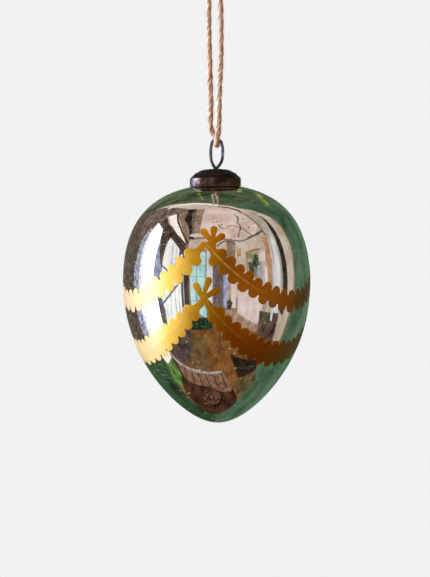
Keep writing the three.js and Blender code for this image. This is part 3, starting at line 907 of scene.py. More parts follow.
skin = add_node(tree, "ShaderNodeBsdfPrincipled", {
    "Base Color": with_rim.outputs[2], "Metallic": solid.outputs["Result"],
    "Roughness": dull.outputs["Result"], "Coat Weight": gloss.outputs["Result"],
    "Coat Roughness": 0.3, "Coat IOR": 1.5})
add_node(tree, "ShaderNodeOutputMaterial", {"Surface": skin.outputs["BSDF"]})
print("made", enamel.name)

# %% [markdown]
# ## Garlands
#
# Two tiers of three swags hang round the egg, and each swag is a stem with round leaves on both
# sides. They are laid out on the glass itself: a turn round the axis and a level give a point,
# and steps sideways and up the surface are measured in real millimetres, so the leaves stay the
# same size as the egg narrows. The leaves end in half circles with narrow notches between them,
# and no two are quite the same, as painted by hand.

# %% Two tiers
paint_sink = -0.03 * MM
paint_rim = 0.02 * MM
paint_body = 0.07 * MM
paint_stem = 0.09 * MM
swags_per_tier = 3
swag_turn = 360 / swags_per_tier
leaves_per_side = 18
bare_stem = 6.2 * MM                    # no leaves on a swag this close to a peak

# Angles are in degrees. A notch and a reach are given near the peaks and at the lowest point
tiers = {
    "upper": dict(
        seed=1, turn=-6.5, peak=21 * MM, low=-7 * MM, fall=2.0, rise=1.9, stem=1.55 * MM,
        notch=(2.2 * MM, 2.4 * MM), reach=(5.0 * MM, 5.3 * MM), vein=0.85,
        hub_turn=4.4, hub_rise=0.5 * MM, foot=5.2 * MM,
        fingers=((44, 6.0 * MM), (-5, 5.5 * MM), (-63, 4.6 * MM))),
    "lower": dict(
        seed=2, turn=-7.2, peak=-4.5 * MM, low=-31.5 * MM, fall=2.5, rise=1.8, stem=1.7 * MM,
        notch=(2.8 * MM, 4.6 * MM), reach=(4.2 * MM, 6.6 * MM), vein=0.3,
        hub_turn=-0.7, hub_rise=1.2 * MM, foot=3.4 * MM,
        fingers=((32, 5.8 * MM), (-19, 7.8 * MM), (-66, 6.6 * MM))),
}
print("a swag spans", swag_turn, "degrees, with", leaves_per_side, "leaves on each side")


# %% Places on the glass
def surface_slope(level):
    step = 0.05 * MM
    return (egg_radius(level + step) - egg_radius(level - step)) / (2 * step)


def on_glass(turn, level, height):
    """The point at a turn in degrees and a level, a height off the surface."""
    slope = surface_slope(level)
    length = math.hypot(1, slope)
    radius = egg_radius(level) + height / length
    a = math.radians(turn)
    z = widest_z + level - height * slope / length
    return Vector((radius * math.sin(a), -radius * math.cos(a), z))


def step_across(turn, level, sideways, up):
    """The turn and level that lie a step sideways and a step up the surface from another."""
    new_level = level + up / math.hypot(1, surface_slope(level))
    radius = egg_radius((level + new_level) / 2)
    return turn + math.degrees(sideways / radius), new_level


def stem_level(tier, share):
    """Level of a swag's stem, where share runs from 0 at one peak to 1 at the next."""
    power = tier["fall"] if share < 0.5 else tier["rise"]
    return tier["low"] + (tier["peak"] - tier["low"]) * abs(2 * share - 1) ** power


first_peak = on_glass(tiers["upper"]["turn"], tiers["upper"]["peak"], 0)
print("the first upper peak is at", [round(c / MM, 1) for c in first_peak], "mm")

# %% Outline of a swag
leaf_roundness = 0.84                   # a leaf's end is this wide, as a share of the pitch
notch_share = 0.93                      # the notch's edge, as a share of half the pitch
leaf_stops = (-1, -0.985, -0.93, -0.82, -0.62, -0.33, 0, 0.33, 0.62, 0.82, 0.93, 0.985, 1)
bare_stops = (0, 0.03, 0.1, 0.2, 0.35, 0.5, 0.65, 0.8)


def leaf_reach(offset, half_pitch, notch, reach):
    """How far a leaf stands off the stem's middle, at an offset along the stem from its centre."""
    end_radius = leaf_roundness * half_pitch
    if abs(offset) < end_radius:
        return reach - end_radius + math.sqrt(end_radius**2 - offset**2)
    share = (abs(offset) - end_radius) / (half_pitch - end_radius)
    return notch + (reach - end_radius - notch) * (1 - share) ** 2


def swag_outline(tier, total, pitch, dice):
    """Rows along the stem: the run, and how far the paint reaches above and below the stem."""
    half_pitch = pitch / 2
    offsets = [-half_pitch, -notch_share * half_pitch]
    offsets += [leaf_roundness * half_pitch * stop for stop in leaf_stops]
    offsets += [notch_share * half_pitch]
    rows = [(bare_stem * s, tier["stem"], tier["stem"]) for s in bare_stops]
    for leaf in range(leaves_per_side):
        from_peak = 1 - abs(2 * (leaf + 0.5) / leaves_per_side - 1)
        sag = min(1, 1.6 * from_peak)
        nominal, notch = (near + (low - near) * sag for near, low in (tier["reach"], tier["notch"]))
        above, below = (dice.uniform(0.94, 1.06) * nominal for _ in range(2))
        for offset in offsets:
            rows.append((bare_stem + pitch * (leaf + 0.5) + offset,
                         leaf_reach(offset, half_pitch, notch, above),
                         leaf_reach(offset, half_pitch, notch, below)))
    rows += [(total - bare_stem * s, tier["stem"], tier["stem"]) for s in bare_stops[::-1]]
    return rows


print("the end of each leaf is drawn with", len(leaf_stops), "rows of points")

# %% [markdown]
# ## Swags
#
# Each row of the outline crosses the stem at a right angle, and carries seventeen points from one
# edge of the paint to the other. Their height over the glass swells towards the stem, and dips
# just under the surface at the edges, so that no gap shows. At a peak the outline would pass the
# middle between two swags, so it is trimmed there and rounded off.

# %% Swags
half_columns = (0.05, 0.12, 0.36, 0.62, 0.82, 0.92, 0.975, 1)
columns = (*(-c for c in half_columns[::-1]), 0, *half_columns)
height_stops = (0, 0.05, 0.12, 0.82, 0.92, 0.975, 1)
height_values = (paint_stem, paint_stem, paint_body, paint_body, 0.8 * paint_body, paint_rim, paint_sink)
vein_runs = (0, 0.08, 0.16, 0.24, 0.34)
vein_values = (0.95, 0.8, 0.55, 0.25, 0)
slope_step = 0.2 * MM


def make_swag(name, index):
    tier = tiers[name]
    shares = np.linspace(0, 1, 801)
    levels = np.array([stem_level(tier, s) for s in shares])
    radii = np.array([egg_radius(level) for level in levels])
    sideways = math.radians(swag_turn) * (radii[1:] + radii[:-1]) / 2 * np.diff(shares)
    upwards = np.hypot(np.diff(levels), np.diff(radii))
    runs = np.concatenate([[0], np.cumsum(np.hypot(sideways, upwards))])
    total = runs[-1]
    pitch = (total - 2 * bare_stem) / leaves_per_side
    dice = random.Random(10 * index + tier["seed"])

    points, shades = [], []
    rows = swag_outline(tier, total, pitch, dice)
    for run, above, below in rows:
        share, ahead, behind = (float(np.interp(r, runs, shares)) for r in (
            run, min(total, run + slope_step), max(0, run - slope_step)))
        level, level_ahead, level_behind = (stem_level(tier, s) for s in (share, ahead, behind))
        dx = math.radians(swag_turn) * (ahead - behind) * egg_radius(level)
        rise = level_ahead - level_behind
        dy = math.copysign(math.hypot(rise, egg_radius(level_ahead) - egg_radius(level_behind)), rise)
        along_x, along_y = dx / math.hypot(dx, dy), dy / math.hypot(dx, dy)
        to_end = min(run, total - run)
        to_middle = to_end * along_x / max(0.05, abs(along_y))
        rounded = math.sqrt(max(0, 1 - max(0, 1 - to_end / tier["stem"]) ** 2))
        vein = tier["vein"] * float(np.interp(run / total, vein_runs, vein_values))
        turn = tier["turn"] + swag_turn * (index + share)
        for column in columns:
            width = above * rounded if column < 0 else min(below, to_middle + 0.05 * MM)
            shift = width * column
            spot = step_across(turn, level, along_y * shift, -along_x * shift)
            edge = abs(column)
            points.append(on_glass(*spot, float(np.interp(edge, height_stops, height_values))))
            shades.append(float(np.interp(
                edge, (0, 0.04, 0.1, 0.85, 0.97), (vein, 0.8 * vein, 0, 0, 0.06))))
    faces = [f[::-1] for f in grid_faces(len(rows), len(columns))]
    swag = make_piece(f"{name}_garland_{index + 1}", points, faces, enamel, "glass")
    store_shade(swag, "paint_shade", shades)
    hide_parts(f"{name}_swag_{index + 1}")
    return total, pitch, len(faces)


for tier_name in tiers:
    for swag_index in range(swags_per_tier):
        swag_length, leaf_pitch, face_count = make_swag(tier_name, swag_index)
    print(tier_name, "swags:", round(swag_length / MM, 1), "mm long, a leaf every",
          round(leaf_pitch / MM, 1), "mm,", face_count, "faces each")

# %% [markdown]
# ## Finials
#
# Where two swags meet, three leaves on a short stem stand up like a little crown. The outline is
# drawn flat, with half circles for the leaves' ends, and is then laid on the glass like the
# swags. Rings of points inside the outline let the paint swell towards the middle.

# %% Outline of a finial
finger_radius = 1.7 * MM
crotch_reach = 1.25 * finger_radius     # where two leaves part, from the hub
finial_stem = 1.4 * MM


def finial_outline(tier):
    """The outline round the hub: the foot, then the three leaves from left to right, in metres."""
    foot = -tier["foot"]
    fingers = tier["fingers"]
    outline = []
    for number, (lean, reach) in enumerate(fingers):
        a = math.radians(lean)
        for around in (112, 90, 60, 30, 0, -30, -60, -90, -112):
            b = math.radians(lean + around)
            outline.append((-reach * math.sin(a) - finger_radius * math.sin(b),
                            reach * math.cos(a) + finger_radius * math.cos(b)))
        if number < len(fingers) - 1:
            n = math.radians((lean + fingers[number + 1][0]) / 2)
            outline.append((-crotch_reach * math.sin(n), crotch_reach * math.cos(n)))
    outline += [(finial_stem, -0.8 * finial_stem), (finial_stem, foot + finial_stem), (0, foot),
                (-finial_stem, foot + finial_stem), (-finial_stem, -0.8 * finial_stem)]
    return outline[::-1]


print("a finial's outline has", len(finial_outline(tiers["upper"])), "points")

# %% Finials
finial_rings = ((1, paint_sink, 0.06), (0.97, paint_rim, 0.06), (0.9, 0.9 * paint_body, 0),
                (0.6, paint_body, 0), (0.3, paint_stem, 0), (0.02, paint_stem, 0))


def make_finial(name, index):
    tier = tiers[name]
    turn = tier["turn"] + swag_turn * index + tier["hub_turn"]
    hub_level = tier["peak"] + tier["hub_rise"]
    outline = finial_outline(tier)
    points, shades = [], []
    for share, height, rim_shade in finial_rings:
        for x, y in outline:
            above_hub = step_across(turn, hub_level, 0, y * share)
            points.append(on_glass(*step_across(*above_hub, x * share, 0), height))
            shades.append(rim_shade)
    faces = grid_faces(len(finial_rings), len(outline), close=True)
    last = len(outline) * (len(finial_rings) - 1)
    faces.append(tuple(last + j for j in range(len(outline))))
    finial = make_piece(f"{name}_crown_{index + 1}", points, faces, enamel, "glass")
    store_shade(finial, "paint_shade", shades)
    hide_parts(f"{name}_finial_{index + 1}")
    return len(faces)


for tier_name in tiers:
    for finial_index in range(swags_per_tier):
        face_count = make_finial(tier_name, finial_index)
print("finials:", face_count, "faces each")

# %% [markdown]
# ## Pale studio
#
# The floor is a pale disc well below the ornament. It fades out towards its rim, so it has no
# edge in any view. The world shows its pale grey to the camera and in glass and metal, and
# lights the rest a little more dimly. A large soft lamp stands at the left, like a window, and a
# weak one at the right.

# %% Floor of the studio
floor_z = -0.45
floor_radius = 0.6
floor_sides = 96
floor_finish, tree = new_material("studio_floor_pale_paper")
place = add_node(tree, "ShaderNodeTexCoord")
away = add_node(tree, "ShaderNodeVectorMath", {0: place.outputs["Object"]}, operation="LENGTH")
fade = add_node(tree, "ShaderNodeMapRange", {
    "Value": away.outputs["Value"], "From Min": 0.35 * floor_radius, "From Max": floor_radius,
    "To Min": 0, "To Max": 1}, interpolation_type="SMOOTHSTEP")
paper = add_node(tree, "ShaderNodeBsdfDiffuse", {"Color": colour("#F2F2F2")})
gone = add_node(tree, "ShaderNodeBsdfTransparent")
mixed = add_node(tree, "ShaderNodeMixShader", {
    0: fade.outputs["Result"], 1: paper.outputs["BSDF"], 2: gone.outputs["BSDF"]})
add_node(tree, "ShaderNodeOutputMaterial", {"Surface": mixed.outputs["Shader"]})
corners = [(floor_radius * math.cos(a), floor_radius * math.sin(a), 0)
           for a in (2 * math.pi * i / floor_sides for i in range(floor_sides))]
floor = make_mesh("studio_floor", corners, [tuple(range(floor_sides))], floor_finish)
floor.location.z = floor_z
floor.visible_glossy = False
print("floor at", floor_z, "m")

# %% Pale world
background_grey = colour("#F2F2F2")
fill_light = 0.62
world = bpy.data.worlds.new("pale_studio")
bpy.context.scene.world = world
world.use_nodes = True
tree = world.node_tree
tree.nodes.clear()
rays = add_node(tree, "ShaderNodeLightPath")
seen = add_node(tree, "ShaderNodeMath", {
    0: rays.outputs["Is Camera Ray"], 1: rays.outputs["Is Glossy Ray"]}, operation="MAXIMUM")
seen = add_node(tree, "ShaderNodeMath", {
    0: seen.outputs[0], 1: rays.outputs["Is Transmission Ray"]}, operation="MAXIMUM")
strength = add_node(tree, "ShaderNodeMapRange", {
    "Value": seen.outputs[0], "To Min": fill_light, "To Max": 1})
sky = add_node(tree, "ShaderNodeBackground", {
    "Color": background_grey, "Strength": strength.outputs["Result"]})
add_node(tree, "ShaderNodeOutputWorld", {"Surface": sky.outputs["Background"]})
scene = bpy.context.scene
scene.view_settings.view_transform = "Standard"
print("the world lights with", fill_light, "of the grey that it shows")

# %% Lamps
egg_middle = Vector((0, 0, widest_z))


def add_lamp(name, place, size, power):
    lamp = bpy.data.lights.new(name, "AREA")
    lamp.shape = "RECTANGLE"
    lamp.size, lamp.size_y = size
    lamp.energy = power
    made = bpy.data.objects.new(name, lamp)
    scene.collection.objects.link(made)
    made.location = place
    made.rotation_mode = "QUATERNION"
    made.rotation_quaternion = (egg_middle - Vector(place)).to_track_quat("-Z", "Y")
    made.visible_camera = False
    made.visible_glossy = False


add_lamp("window_lamp_left", (-1.3, -0.5, 0.15), (0.7, 1.2), 26)
add_lamp("soft_lamp_right", (1.0, -1.2, 0.3), (0.8, 0.8), 4)
print("lamps at the left and the right, aimed at", [round(c, 3) for c in egg_middle])

# %% [markdown]
# ## What the mirror shows
#
# A mirror has no looks of its own: it shows the room. A pale studio alone would turn the egg
# into a white blob, so a simple room of coloured cards stands round it, as a photographer sets
# cards round silverware. The cards glow by themselves. Only reflections see them: they cast no
# light on the other pieces and never show in the picture themselves.
#
# Many walls are old and mottled, so a finish may mix two colours by a noise. Its grain is given
# in metres, and stretching the noise along Z or across it turns blots into streaks.


# %% Finishes for the room
def glow_material(name, first, second=None, strength=1.25, grain=0.3, spread=0.12,
                  mapping=(1, 1, 1), detail=4):
    """A surface that shows one colour, or a mottled mix of two, at a given brightness."""
    material, tree = new_material("room_" + name)
    if second is None:
        shown = colour(first)
    else:
        place = add_node(tree, "ShaderNodeTexCoord")
        scaled = add_node(tree, "ShaderNodeMapping", {
            "Vector": place.outputs["Object"], "Scale": mapping})
        mottle = add_node(tree, "ShaderNodeTexNoise", {
            "Vector": scaled.outputs["Vector"], "Scale": 1 / grain, "Detail": detail,
            "Roughness": 0.6})
        ramp = add_node(tree, "ShaderNodeValToRGB", {"Fac": mottle.outputs["Fac"]})
        set_ramp(ramp, [(0.5 - spread, first), (0.5 + spread, second)])
        shown = ramp.outputs["Color"]
    glow = add_node(tree, "ShaderNodeEmission", {"Color": shown, "Strength": strength})
    add_node(tree, "ShaderNodeOutputMaterial", {"Surface": glow.outputs["Emission"]})
    material.cycles.emission_sampling = "NONE"
    return material


room_finishes = {
    "dark_wall": dict(first="#332825", second="#84766E", grain=0.22, spread=0.16, mapping=(0.4, 0.4, 4),
                      detail=9),
    "mauve_wall": dict(first="#62524E", second="#98847E", grain=0.4, mapping=(1, 1, 2)),
    "dark_wood": dict(first="#3A2C27", second="#62524A", grain=0.35, mapping=(1, 1, 0.4)),
    "black_wood": dict(first="#1F1916", second="#4A4036", grain=0.3),
    "tan_wood": dict(first="#8A7064", second="#AC9486", grain=0.4),
    "daylight": dict(first="#F7F8FF", strength=5),
    "near_daylight": dict(first="#D4D6E2", second="#FAFAFF", strength=1.9, grain=0.5, spread=0.16),
    "pale_plaster": dict(first="#E2D6D4", second="#FAF4F4", strength=1.9, grain=0.3),
    "window_fringe": dict(first="#646488", second="#D4D8F8", strength=1.5, grain=0.3, mapping=(1, 1, 4),
                          detail=7),
    "window_glow": dict(first="#A8ACD8", second="#FFFFFF", strength=2.2, grain=0.25, mapping=(1, 1, 4),
                        detail=7),
    "lavender": dict(first="#868EC8", second="#C8D0F8", grain=0.3),
    "ceiling": dict(first="#BEA29C", second="#EFDCE0", strength=1.5, grain=1.6, spread=0.18),
    "dim_plaster": dict(first="#94796E", second="#C4AAA2", grain=0.5),
    "cream_wall": dict(first="#CDB6AC", second="#E8DAD4", grain=0.6),
    "blush_wall": dict(first="#E2CCD0", second="#F6E8EC", strength=1.35, grain=0.4),
    "salmon": dict(first="#BE8862", second="#D6A888", grain=0.4),
    "mauve": dict(first="#9E8074", second="#D0B2A2", grain=0.3),
    "door_grey": dict(first="#5E5256", second="#84767C", grain=0.3, mapping=(1, 1, 0.4)),
    "pale_stone": dict(first="#B9A89C", second="#DCCFC6", grain=0.4, mapping=(1, 1, 0.3)),
    "tan_stone": dict(first="#8A7466", second="#AE968A", grain=0.4, mapping=(1, 1, 0.3)),
    "bluish_white": dict(first="#C4C8E6", second="#F2F2FC", strength=1.4, grain=0.3, mapping=(1, 1, 0.3)),
    "teal": dict(first="#86D4E8", second="#CFF4FF", strength=1.5, grain=0.25, mapping=(1, 1, 0.4)),
    "boards": dict(first="#6A4228", second="#A2703F", grain=0.5, spread=0.16, detail=7),
    "plank": dict(first="#6A5236", second="#8C7048", grain=0.4),
    "shade": dict(first="#241A16", second="#3E322E", grain=0.3),
    "grey_boards": dict(first="#463C3C", second="#72625E", grain=0.3),
    "rubble": dict(first="#463C24", second="#776A4E", grain=0.3),
    "shrub": dict(first="#15241A", second="#35503A", grain=0.2),
    "leaves": dict(first="#261C18", second="#66564E", grain=0.35, spread=0.16),
    "plant_shade": dict(first="#281A16", second="#80685E", grain=0.3, spread=0.16, detail=7),
    "foliage": dict(first="#2C3826", second="#74805E", grain=0.16),
    "stool_top": dict(first="#251710", second="#664432", grain=0.3, spread=0.16, mapping=(1, 0.5, 1)),
    "stool_plank": dict(first="#7A5444", second="#AE8676", grain=0.16, mapping=(0.5, 1, 1)),
    "stool_rim": dict(first="#A8949E", second="#DCCDD6", grain=0.2),
    "knot_wood": dict(first="#40281E", second="#94685A", grain=0.12, spread=0.1),
    "bright_green": dict(first="#3F6A2C", second="#86AC60", grain=0.25),
    "crack": dict(first="#5A453C", second="#86706A", grain=0.2),
    "branch_grey": dict(first="#6E728E"),
    "gilt": dict(first="#A06C34", second="#C89A62", grain=0.2),
    "faded_paint": dict(first="#8E8E74", second="#D2C8B0", grain=0.3),
    "sky_blue": dict(first="#B4C4DC"),
    "dark_hedge": dict(first="#1E321E", second="#4E6E50", grain=1.0, spread=0.16, detail=9),
    "olive_trees": dict(first="#36442E", second="#6C7A60", grain=1.2, mapping=(1, 1, 1.6), detail=9),
    "neck_light": dict(first="#8A9060", second="#D8DC96", grain=0.2),
    "sunlit_gap": dict(first="#46613A", second="#A8B05A", grain=0.4, spread=0.1, detail=7),
    "greenery": dict(first="#38543C", second="#6A8872", grain=1.8, spread=0.17, mapping=(1, 1, 1.5),
                     detail=9),
}
finish_named = {name: glow_material(name, **look) for name, look in room_finishes.items()}
print("finishes for the room:", len(finish_named))

# %% [markdown]
# ## Cards and strips
#
# Where a reflection falls on the egg depends only on the direction that it comes from. So every
# card is written as the directions of its corners, seen from the egg's middle: an azimuth and an
# elevation in degrees. The number after its name is its distance in metres. A card is bent to
# keep that distance, so that near cards always cover far ones. A strip is a narrow card that
# follows a line, for beams, frames, branches and cracks.


# %% Directions from the egg
def direction(azimuth, elevation):
    """Unit vector from the egg's middle. Azimuth 0 is towards the viewer and 90 is to the right."""
    a, e = math.radians(azimuth), math.radians(elevation)
    return Vector((math.sin(a) * math.cos(e), -math.cos(a) * math.cos(e), math.sin(e)))


def show_in_mirror(name, points, faces, material):
    """A piece of the room, which no ray but a reflection meets."""
    made = make_mesh("room_" + name, points, faces, material)
    made.visible_camera = False
    made.visible_diffuse = False
    made.visible_transmission = False
    made.visible_shadow = False


print("azimuth 0 points along", [round(c, 1) for c in direction(0, 0)])


# %% Cards and strips
def card(name, distance, finish, *corners):
    """A card at a distance from the egg, from the azimuths and elevations of its corners."""
    corners = [direction(*corner) for corner in corners]
    middle = sum(corners, Vector()).normalized()
    rim = []
    for a, b in zip(corners, corners[1:] + corners[:1]):
        pieces = max(1, round(math.degrees(a.angle(b)) / 6))
        rim += [a.lerp(b, i / pieces).normalized() for i in range(pieces)]
    # Rings between the middle and the rim keep the card at the same distance all over
    shares = (0.02, 0.25, 0.5, 0.75, 1)
    points = [egg_middle + middle.lerp(spot, share).normalized() * distance
              for share in shares for spot in rim]
    faces = grid_faces(len(shares), len(rim), close=True)
    faces.append(tuple(range(len(rim))))
    show_in_mirror(name, points, faces, finish_named[finish])


def strip(name, distance, finish, *stops):
    """A narrow card. Each stop is an azimuth, an elevation and the width there in degrees."""
    spots = [direction(azimuth, elevation) for azimuth, elevation, _ in stops]
    points = []
    for i, (spot, stop) in enumerate(zip(spots, stops)):
        ahead = spots[min(i + 1, len(spots) - 1)] - spots[max(i - 1, 0)]
        side = spot.cross(ahead).normalized() * math.radians(stop[2]) / 2
        points += [egg_middle + (spot + side) * distance, egg_middle + (spot - side) * distance]
    faces = [(2 * i, 2 * i + 1, 2 * i + 3, 2 * i + 2) for i in range(len(spots) - 1)]
    show_in_mirror(name, points, faces, finish_named[finish])


def cards_so_far():
    return sum(made.name.startswith("room_") for made in bpy.data.objects)


# %% [markdown]
# ## Walls, ceiling and floor
#
# Large cards close the room first, and the smaller ones are then hung in front of them. A round
# mirror sees almost everywhere: its middle shows what stands behind the camera, and a narrow ring
# at its rim shows the sides and even what lies behind the ornament. So the cards at the sides are
# wide, although they look thin in the mirror.

# %% Walls, ceiling and floor
card("ceiling", 4.0, "ceiling", (-145, 28), (-133, 48), (-143, 62), (-157, 79), (166, 78),
     (133, 75), (113, 69), (114, 40), (74, 30), (52, 31), (13, 32), (-24, 31), (-60, 22),
     (-100, 22))
card("left_wall", 3.9, "dark_wall", (-112, -35), (-112, 42), (-41, 36), (-38, 23), (-36, -28),
     (-76, -38))
card("far_left_wall", 3.92, "dark_wall", (-165, -12), (-168, 2), (-158, 16), (-145, 28), (-134, 46),
     (-108, 44), (-108, -33), (-125, -26), (-142, -20))
card("wall_top", 3.85, "mauve_wall", (-147, 25), (-140, 42), (-132, 52), (-108, 70), (-97, 67),
     (-104, 56), (-112, 48), (-105, 39), (-108, 28), (-120, 12))
card("front_wall", 3.9, "tan_stone", (-42, -28), (-42, 37), (13, 39), (35, 36), (52, 38), (74, 37),
     (60, -30), (0, -26))
card("right_wall", 3.8, "pale_stone", (58, -31), (60, 38), (85, 49), (98, 60), (105, 62), (112, 35),
     (105, 5), (99, -31))
card("floor", 3.9, "boards", (-90, -36), (-36, -26), (0, -23), (30, -25), (60, -30), (98, -30),
     (90, -46), (84, -53), (110, -64), (180, -70), (-130, -56))
strip("ceiling_rim", 3.8, "pale_plaster", (-134, 46, 2), (-139, 56, 2.5), (-146, 67, 3),
      (-165, 77, 3), (170, 79, 2))
print("walls, ceiling and floor:", cards_so_far(), "cards")

# %% [markdown]
# ## Windows on the left
#
# The brightest thing in the room is a tall window far to the left, which the egg squeezes into a
# white crescent. A nearer window is seen through branches. A real photograph overflows a little
# at such a bright edge, so streaked strips of lavender soften both sides of the crescent. Dark
# old timber frames the windows, and pale and dark beams lead from them to the ceiling.

# %% Windows on the left
card("window_far", 3.5, "daylight", (-109, 38), (-90, 37), (-83, 25), (-82, 2), (-76, -12),
     (-75, -29), (-101, -30), (-105, -4), (-105, 14), (-107, 28))
strip("window_fringe", 3.6, "window_fringe", (-111, 30, 5), (-111, 14, 12), (-112, 0, 16),
      (-112, -12, 16), (-110, -30, 12))
strip("window_glow", 3.45, "window_glow", (-108, 34, 2), (-106, 20, 4), (-105, 4, 6),
      (-105, -12, 7), (-103, -30, 5))
card("window_reveal", 3.4, "lavender", (-82, 30), (-79, 20), (-70, 6), (-75, 0), (-82, 1))
card("window_near", 3.5, "near_daylight", (-70, 34), (-58, 30), (-49, 24), (-46, 2), (-47, -22),
     (-68, -29), (-72, -10), (-70, 5))
card("window_slit", 3.4, "near_daylight", (-46, 20), (-42, 20), (-43, -20), (-46, -20))
strip("window_bar", 3.3, "branch_grey", (-80, -3, 4), (-73, -9, 5), (-69, -17, 4), (-70, -26, 3))
strip("window_branch_low", 3.2, "branch_grey", (-72, -14, 1.6), (-60, -9, 1.3), (-47, -2, 1.5))
strip("window_branch_high", 3.2, "branch_grey", (-70, 9, 1), (-60, 6, 1.5), (-48, 3, 1))
strip("window_line_left", 3.3, "lavender", (-61, 30, 0.8), (-57, 15, 1), (-56, 0, 1),
      (-58, -20, 0.8))
strip("window_line_right", 3.3, "lavender", (-53, 26, 0.8), (-51, 10, 0.8), (-51, -20, 0.8))
card("window_frame_top", 3.3, "dark_wood", (-105, 39), (-111, 48), (-80, 43), (-42, 31), (-43, 22),
     (-50, 25), (-70, 34))
card("window_frame_post", 3.3, "dark_wood", (-84, 31), (-92, 37), (-68, 35), (-71, 24), (-77, 17))
print("with the windows:", cards_so_far(), "cards")

# %% Beams above the windows
strip("pale_beam", 3.4, "pale_plaster", (-107, 53, 7), (-85, 50, 7), (-68, 45, 6), (-52, 37, 4),
      (-43, 30, 2.5))
strip("dark_beam_high", 3.2, "dark_wood", (-105, 58, 2), (-80, 53, 2), (-55, 43, 2), (-39, 31, 2))
card("tan_beam", 3.5, "tan_wood", (-101, 58), (-97, 67), (-38, 46), (-38, 30))
strip("dark_moulding", 3.2, "black_wood", (-112, 71, 8), (-90, 68, 4), (-70, 62, 8), (-52, 55, 4),
      (-44, 49, 4), (-40, 42, 2))
card("ceiling_dim", 3.75, "dim_plaster", (-104, 70), (-117, 81), (-38, 68), (-26, 46), (-41, 43))
card("ceiling_dark", 3.7, "mauve_wall", (-104, 70), (-105, 75), (-48, 61), (-35, 44), (-41, 43))
card("lamp_rim", 3.1, "black_wood", (-41, 37), (-33, 37), (-33, 40), (-41, 40))
card("lamp_glass", 3.0, "bluish_white", (-40, 40), (-34, 40), (-34, 44), (-40, 43))
print("with the beams:", cards_so_far(), "cards")

# %% [markdown]
# ## Wall opposite the ornament
#
# The middle of the egg shows this wall the least bent: a teal window with pale bars, and
# beside it posts and narrow strips of white, grey, lavender, mauve and blush. A window's bars are
# alike, so one loop makes them.

# %% Wall opposite the ornament
card("cream_panel", 3.4, "cream_wall", (-38, 35), (-15, 39), (14, 37), (14, 26), (-38, 24))
card("orange_sill", 3.3, "salmon", (-37, 26), (-16, 27), (-15, 24), (-37, 23))
card("post_left", 3.3, "dark_wood", (-43, 24), (-34, 24), (-33, -22), (-43, -22))
strip("post_light", 3.2, "lavender", (-41, 20, 1.2), (-40, 0, 1.5), (-40, -20, 1.2))
card("teal_window", 3.3, "teal", (-33, 23), (-13, 24), (-13, -24), (-31, -16))
for level in (-12, -4, 4, 12, 20):
    strip(f"window_bar_{level}", 3.25, "pale_stone", (-33, level, 0.5), (-23, level, 0.5),
          (-13, level, 0.5))
strip("window_upright", 3.25, "tan_stone", (-24, 23, 0.7), (-24, 0, 0.7), (-24, -18, 0.7))
card("white_strip", 3.2, "bluish_white", (-12, 30), (-4, 30), (-5, -14), (-12, -14))
card("dark_door", 3.3, "door_grey", (-4, 12), (9, 12), (9, -18), (-4, -18))
card("lavender_door", 3.2, "lavender", (8, 12), (13, 12), (13, -17), (8, -17))
card("blush_strip", 3.3, "blush_wall", (17, 10), (23, 10), (23, -17), (17, -17))
card("mauve_strip", 3.3, "mauve", (13, 10), (17, 10), (17, -20), (13, -20))
card("dark_pot", 3.1, "leaves", (12, -13), (16, -11), (19, -14), (17, -18), (12, -18))
print("with the wall opposite:", cards_so_far(), "cards")

# %% [markdown]
# ## Right side of the room
#
# A picture hangs on a cream wall, and a row of arches follows it out to the rim. Towards the rim
# each arch bends more and looks thinner, so they are strips whose width is given at every stop.

# %% Cream wall and picture
card("cream_wall", 3.5, "cream_wall", (23, 38), (52, 37), (70, 34), (62, -14), (23, -10))
card("brown_column", 3.4, "tan_wood", (18, 36), (27, 34), (23, 17), (15, 17))
card("small_panel", 3.3, "salmon", (27, 26), (33, 27), (31, 19), (26, 19))
card("picture_back", 3.25, "faded_paint", (38, 20), (58, 21), (55, 1), (41, 1))
card("picture_greens", 3.2, "foliage", (39, 13), (45, 13), (49, 19), (55, 18), (53, 9), (49, 6),
     (43, 2), (40, 6))
card("picture_box", 3.1, "blush_wall", (55, 20), (66, 20), (63, 12), (54, 13))
card("picture_sky", 3.1, "sky_blue", (51, 10), (55, 10), (54, 2), (50, 2))
card("picture_post", 3.12, "tan_stone", (46, 9), (50, 8), (49, 2), (46, 2))
strip("picture_frame_top", 3.15, "gilt", (38, 21, 1.8), (47, 22.5, 1.8), (60, 22.5, 1.8))
strip("picture_frame_side", 3.15, "gilt", (38, 21, 1.3), (38, 15, 1.3), (38, 8, 1), (39, 0, 0.8))
strip("picture_edge", 3.15, "dark_wood", (66, 20, 0.8), (64, 12, 0.8))
print("with the picture:", cards_so_far(), "cards")

# %% Doors and arches
card("blue_door", 3.1, "bluish_white", (60, 7), (64, 8), (64, -13), (59, -12))
card("salmon_post", 3.3, "salmon", (69, 33), (76, 31), (69, -10), (62, -9))
strip("pale_band", 3.2, "bluish_white", (83, 34, 5), (80, 22, 11), (78, 8, 12), (77, -6, 12),
      (76, -18, 10))
strip("stone_arch", 3.15, "pale_stone", (92, 68, 4), (89, 57, 8), (83, 42, 6), (81, 34, 4),
      (77, 23, 2), (74, 8, 2))
strip("arch_shadow", 3.1, "dark_wood", (88, 66, 1.2), (81, 56, 1.5), (77, 43, 1.5), (76, 33, 1.2))
strip("dark_arch", 3.1, "black_wood", (103, 52, 1.5), (100, 46, 3), (94, 34, 6), (92, 22, 7),
      (91, 10, 8), (91, -6, 8), (88, -18, 6))
strip("outer_arch", 3.3, "cream_wall", (106, 56, 6), (108, 44, 10), (106, 30, 14), (104, 15, 15),
      (102, 3, 13), (101, -8, 11), (98, -20, 9), (97, -31, 8))
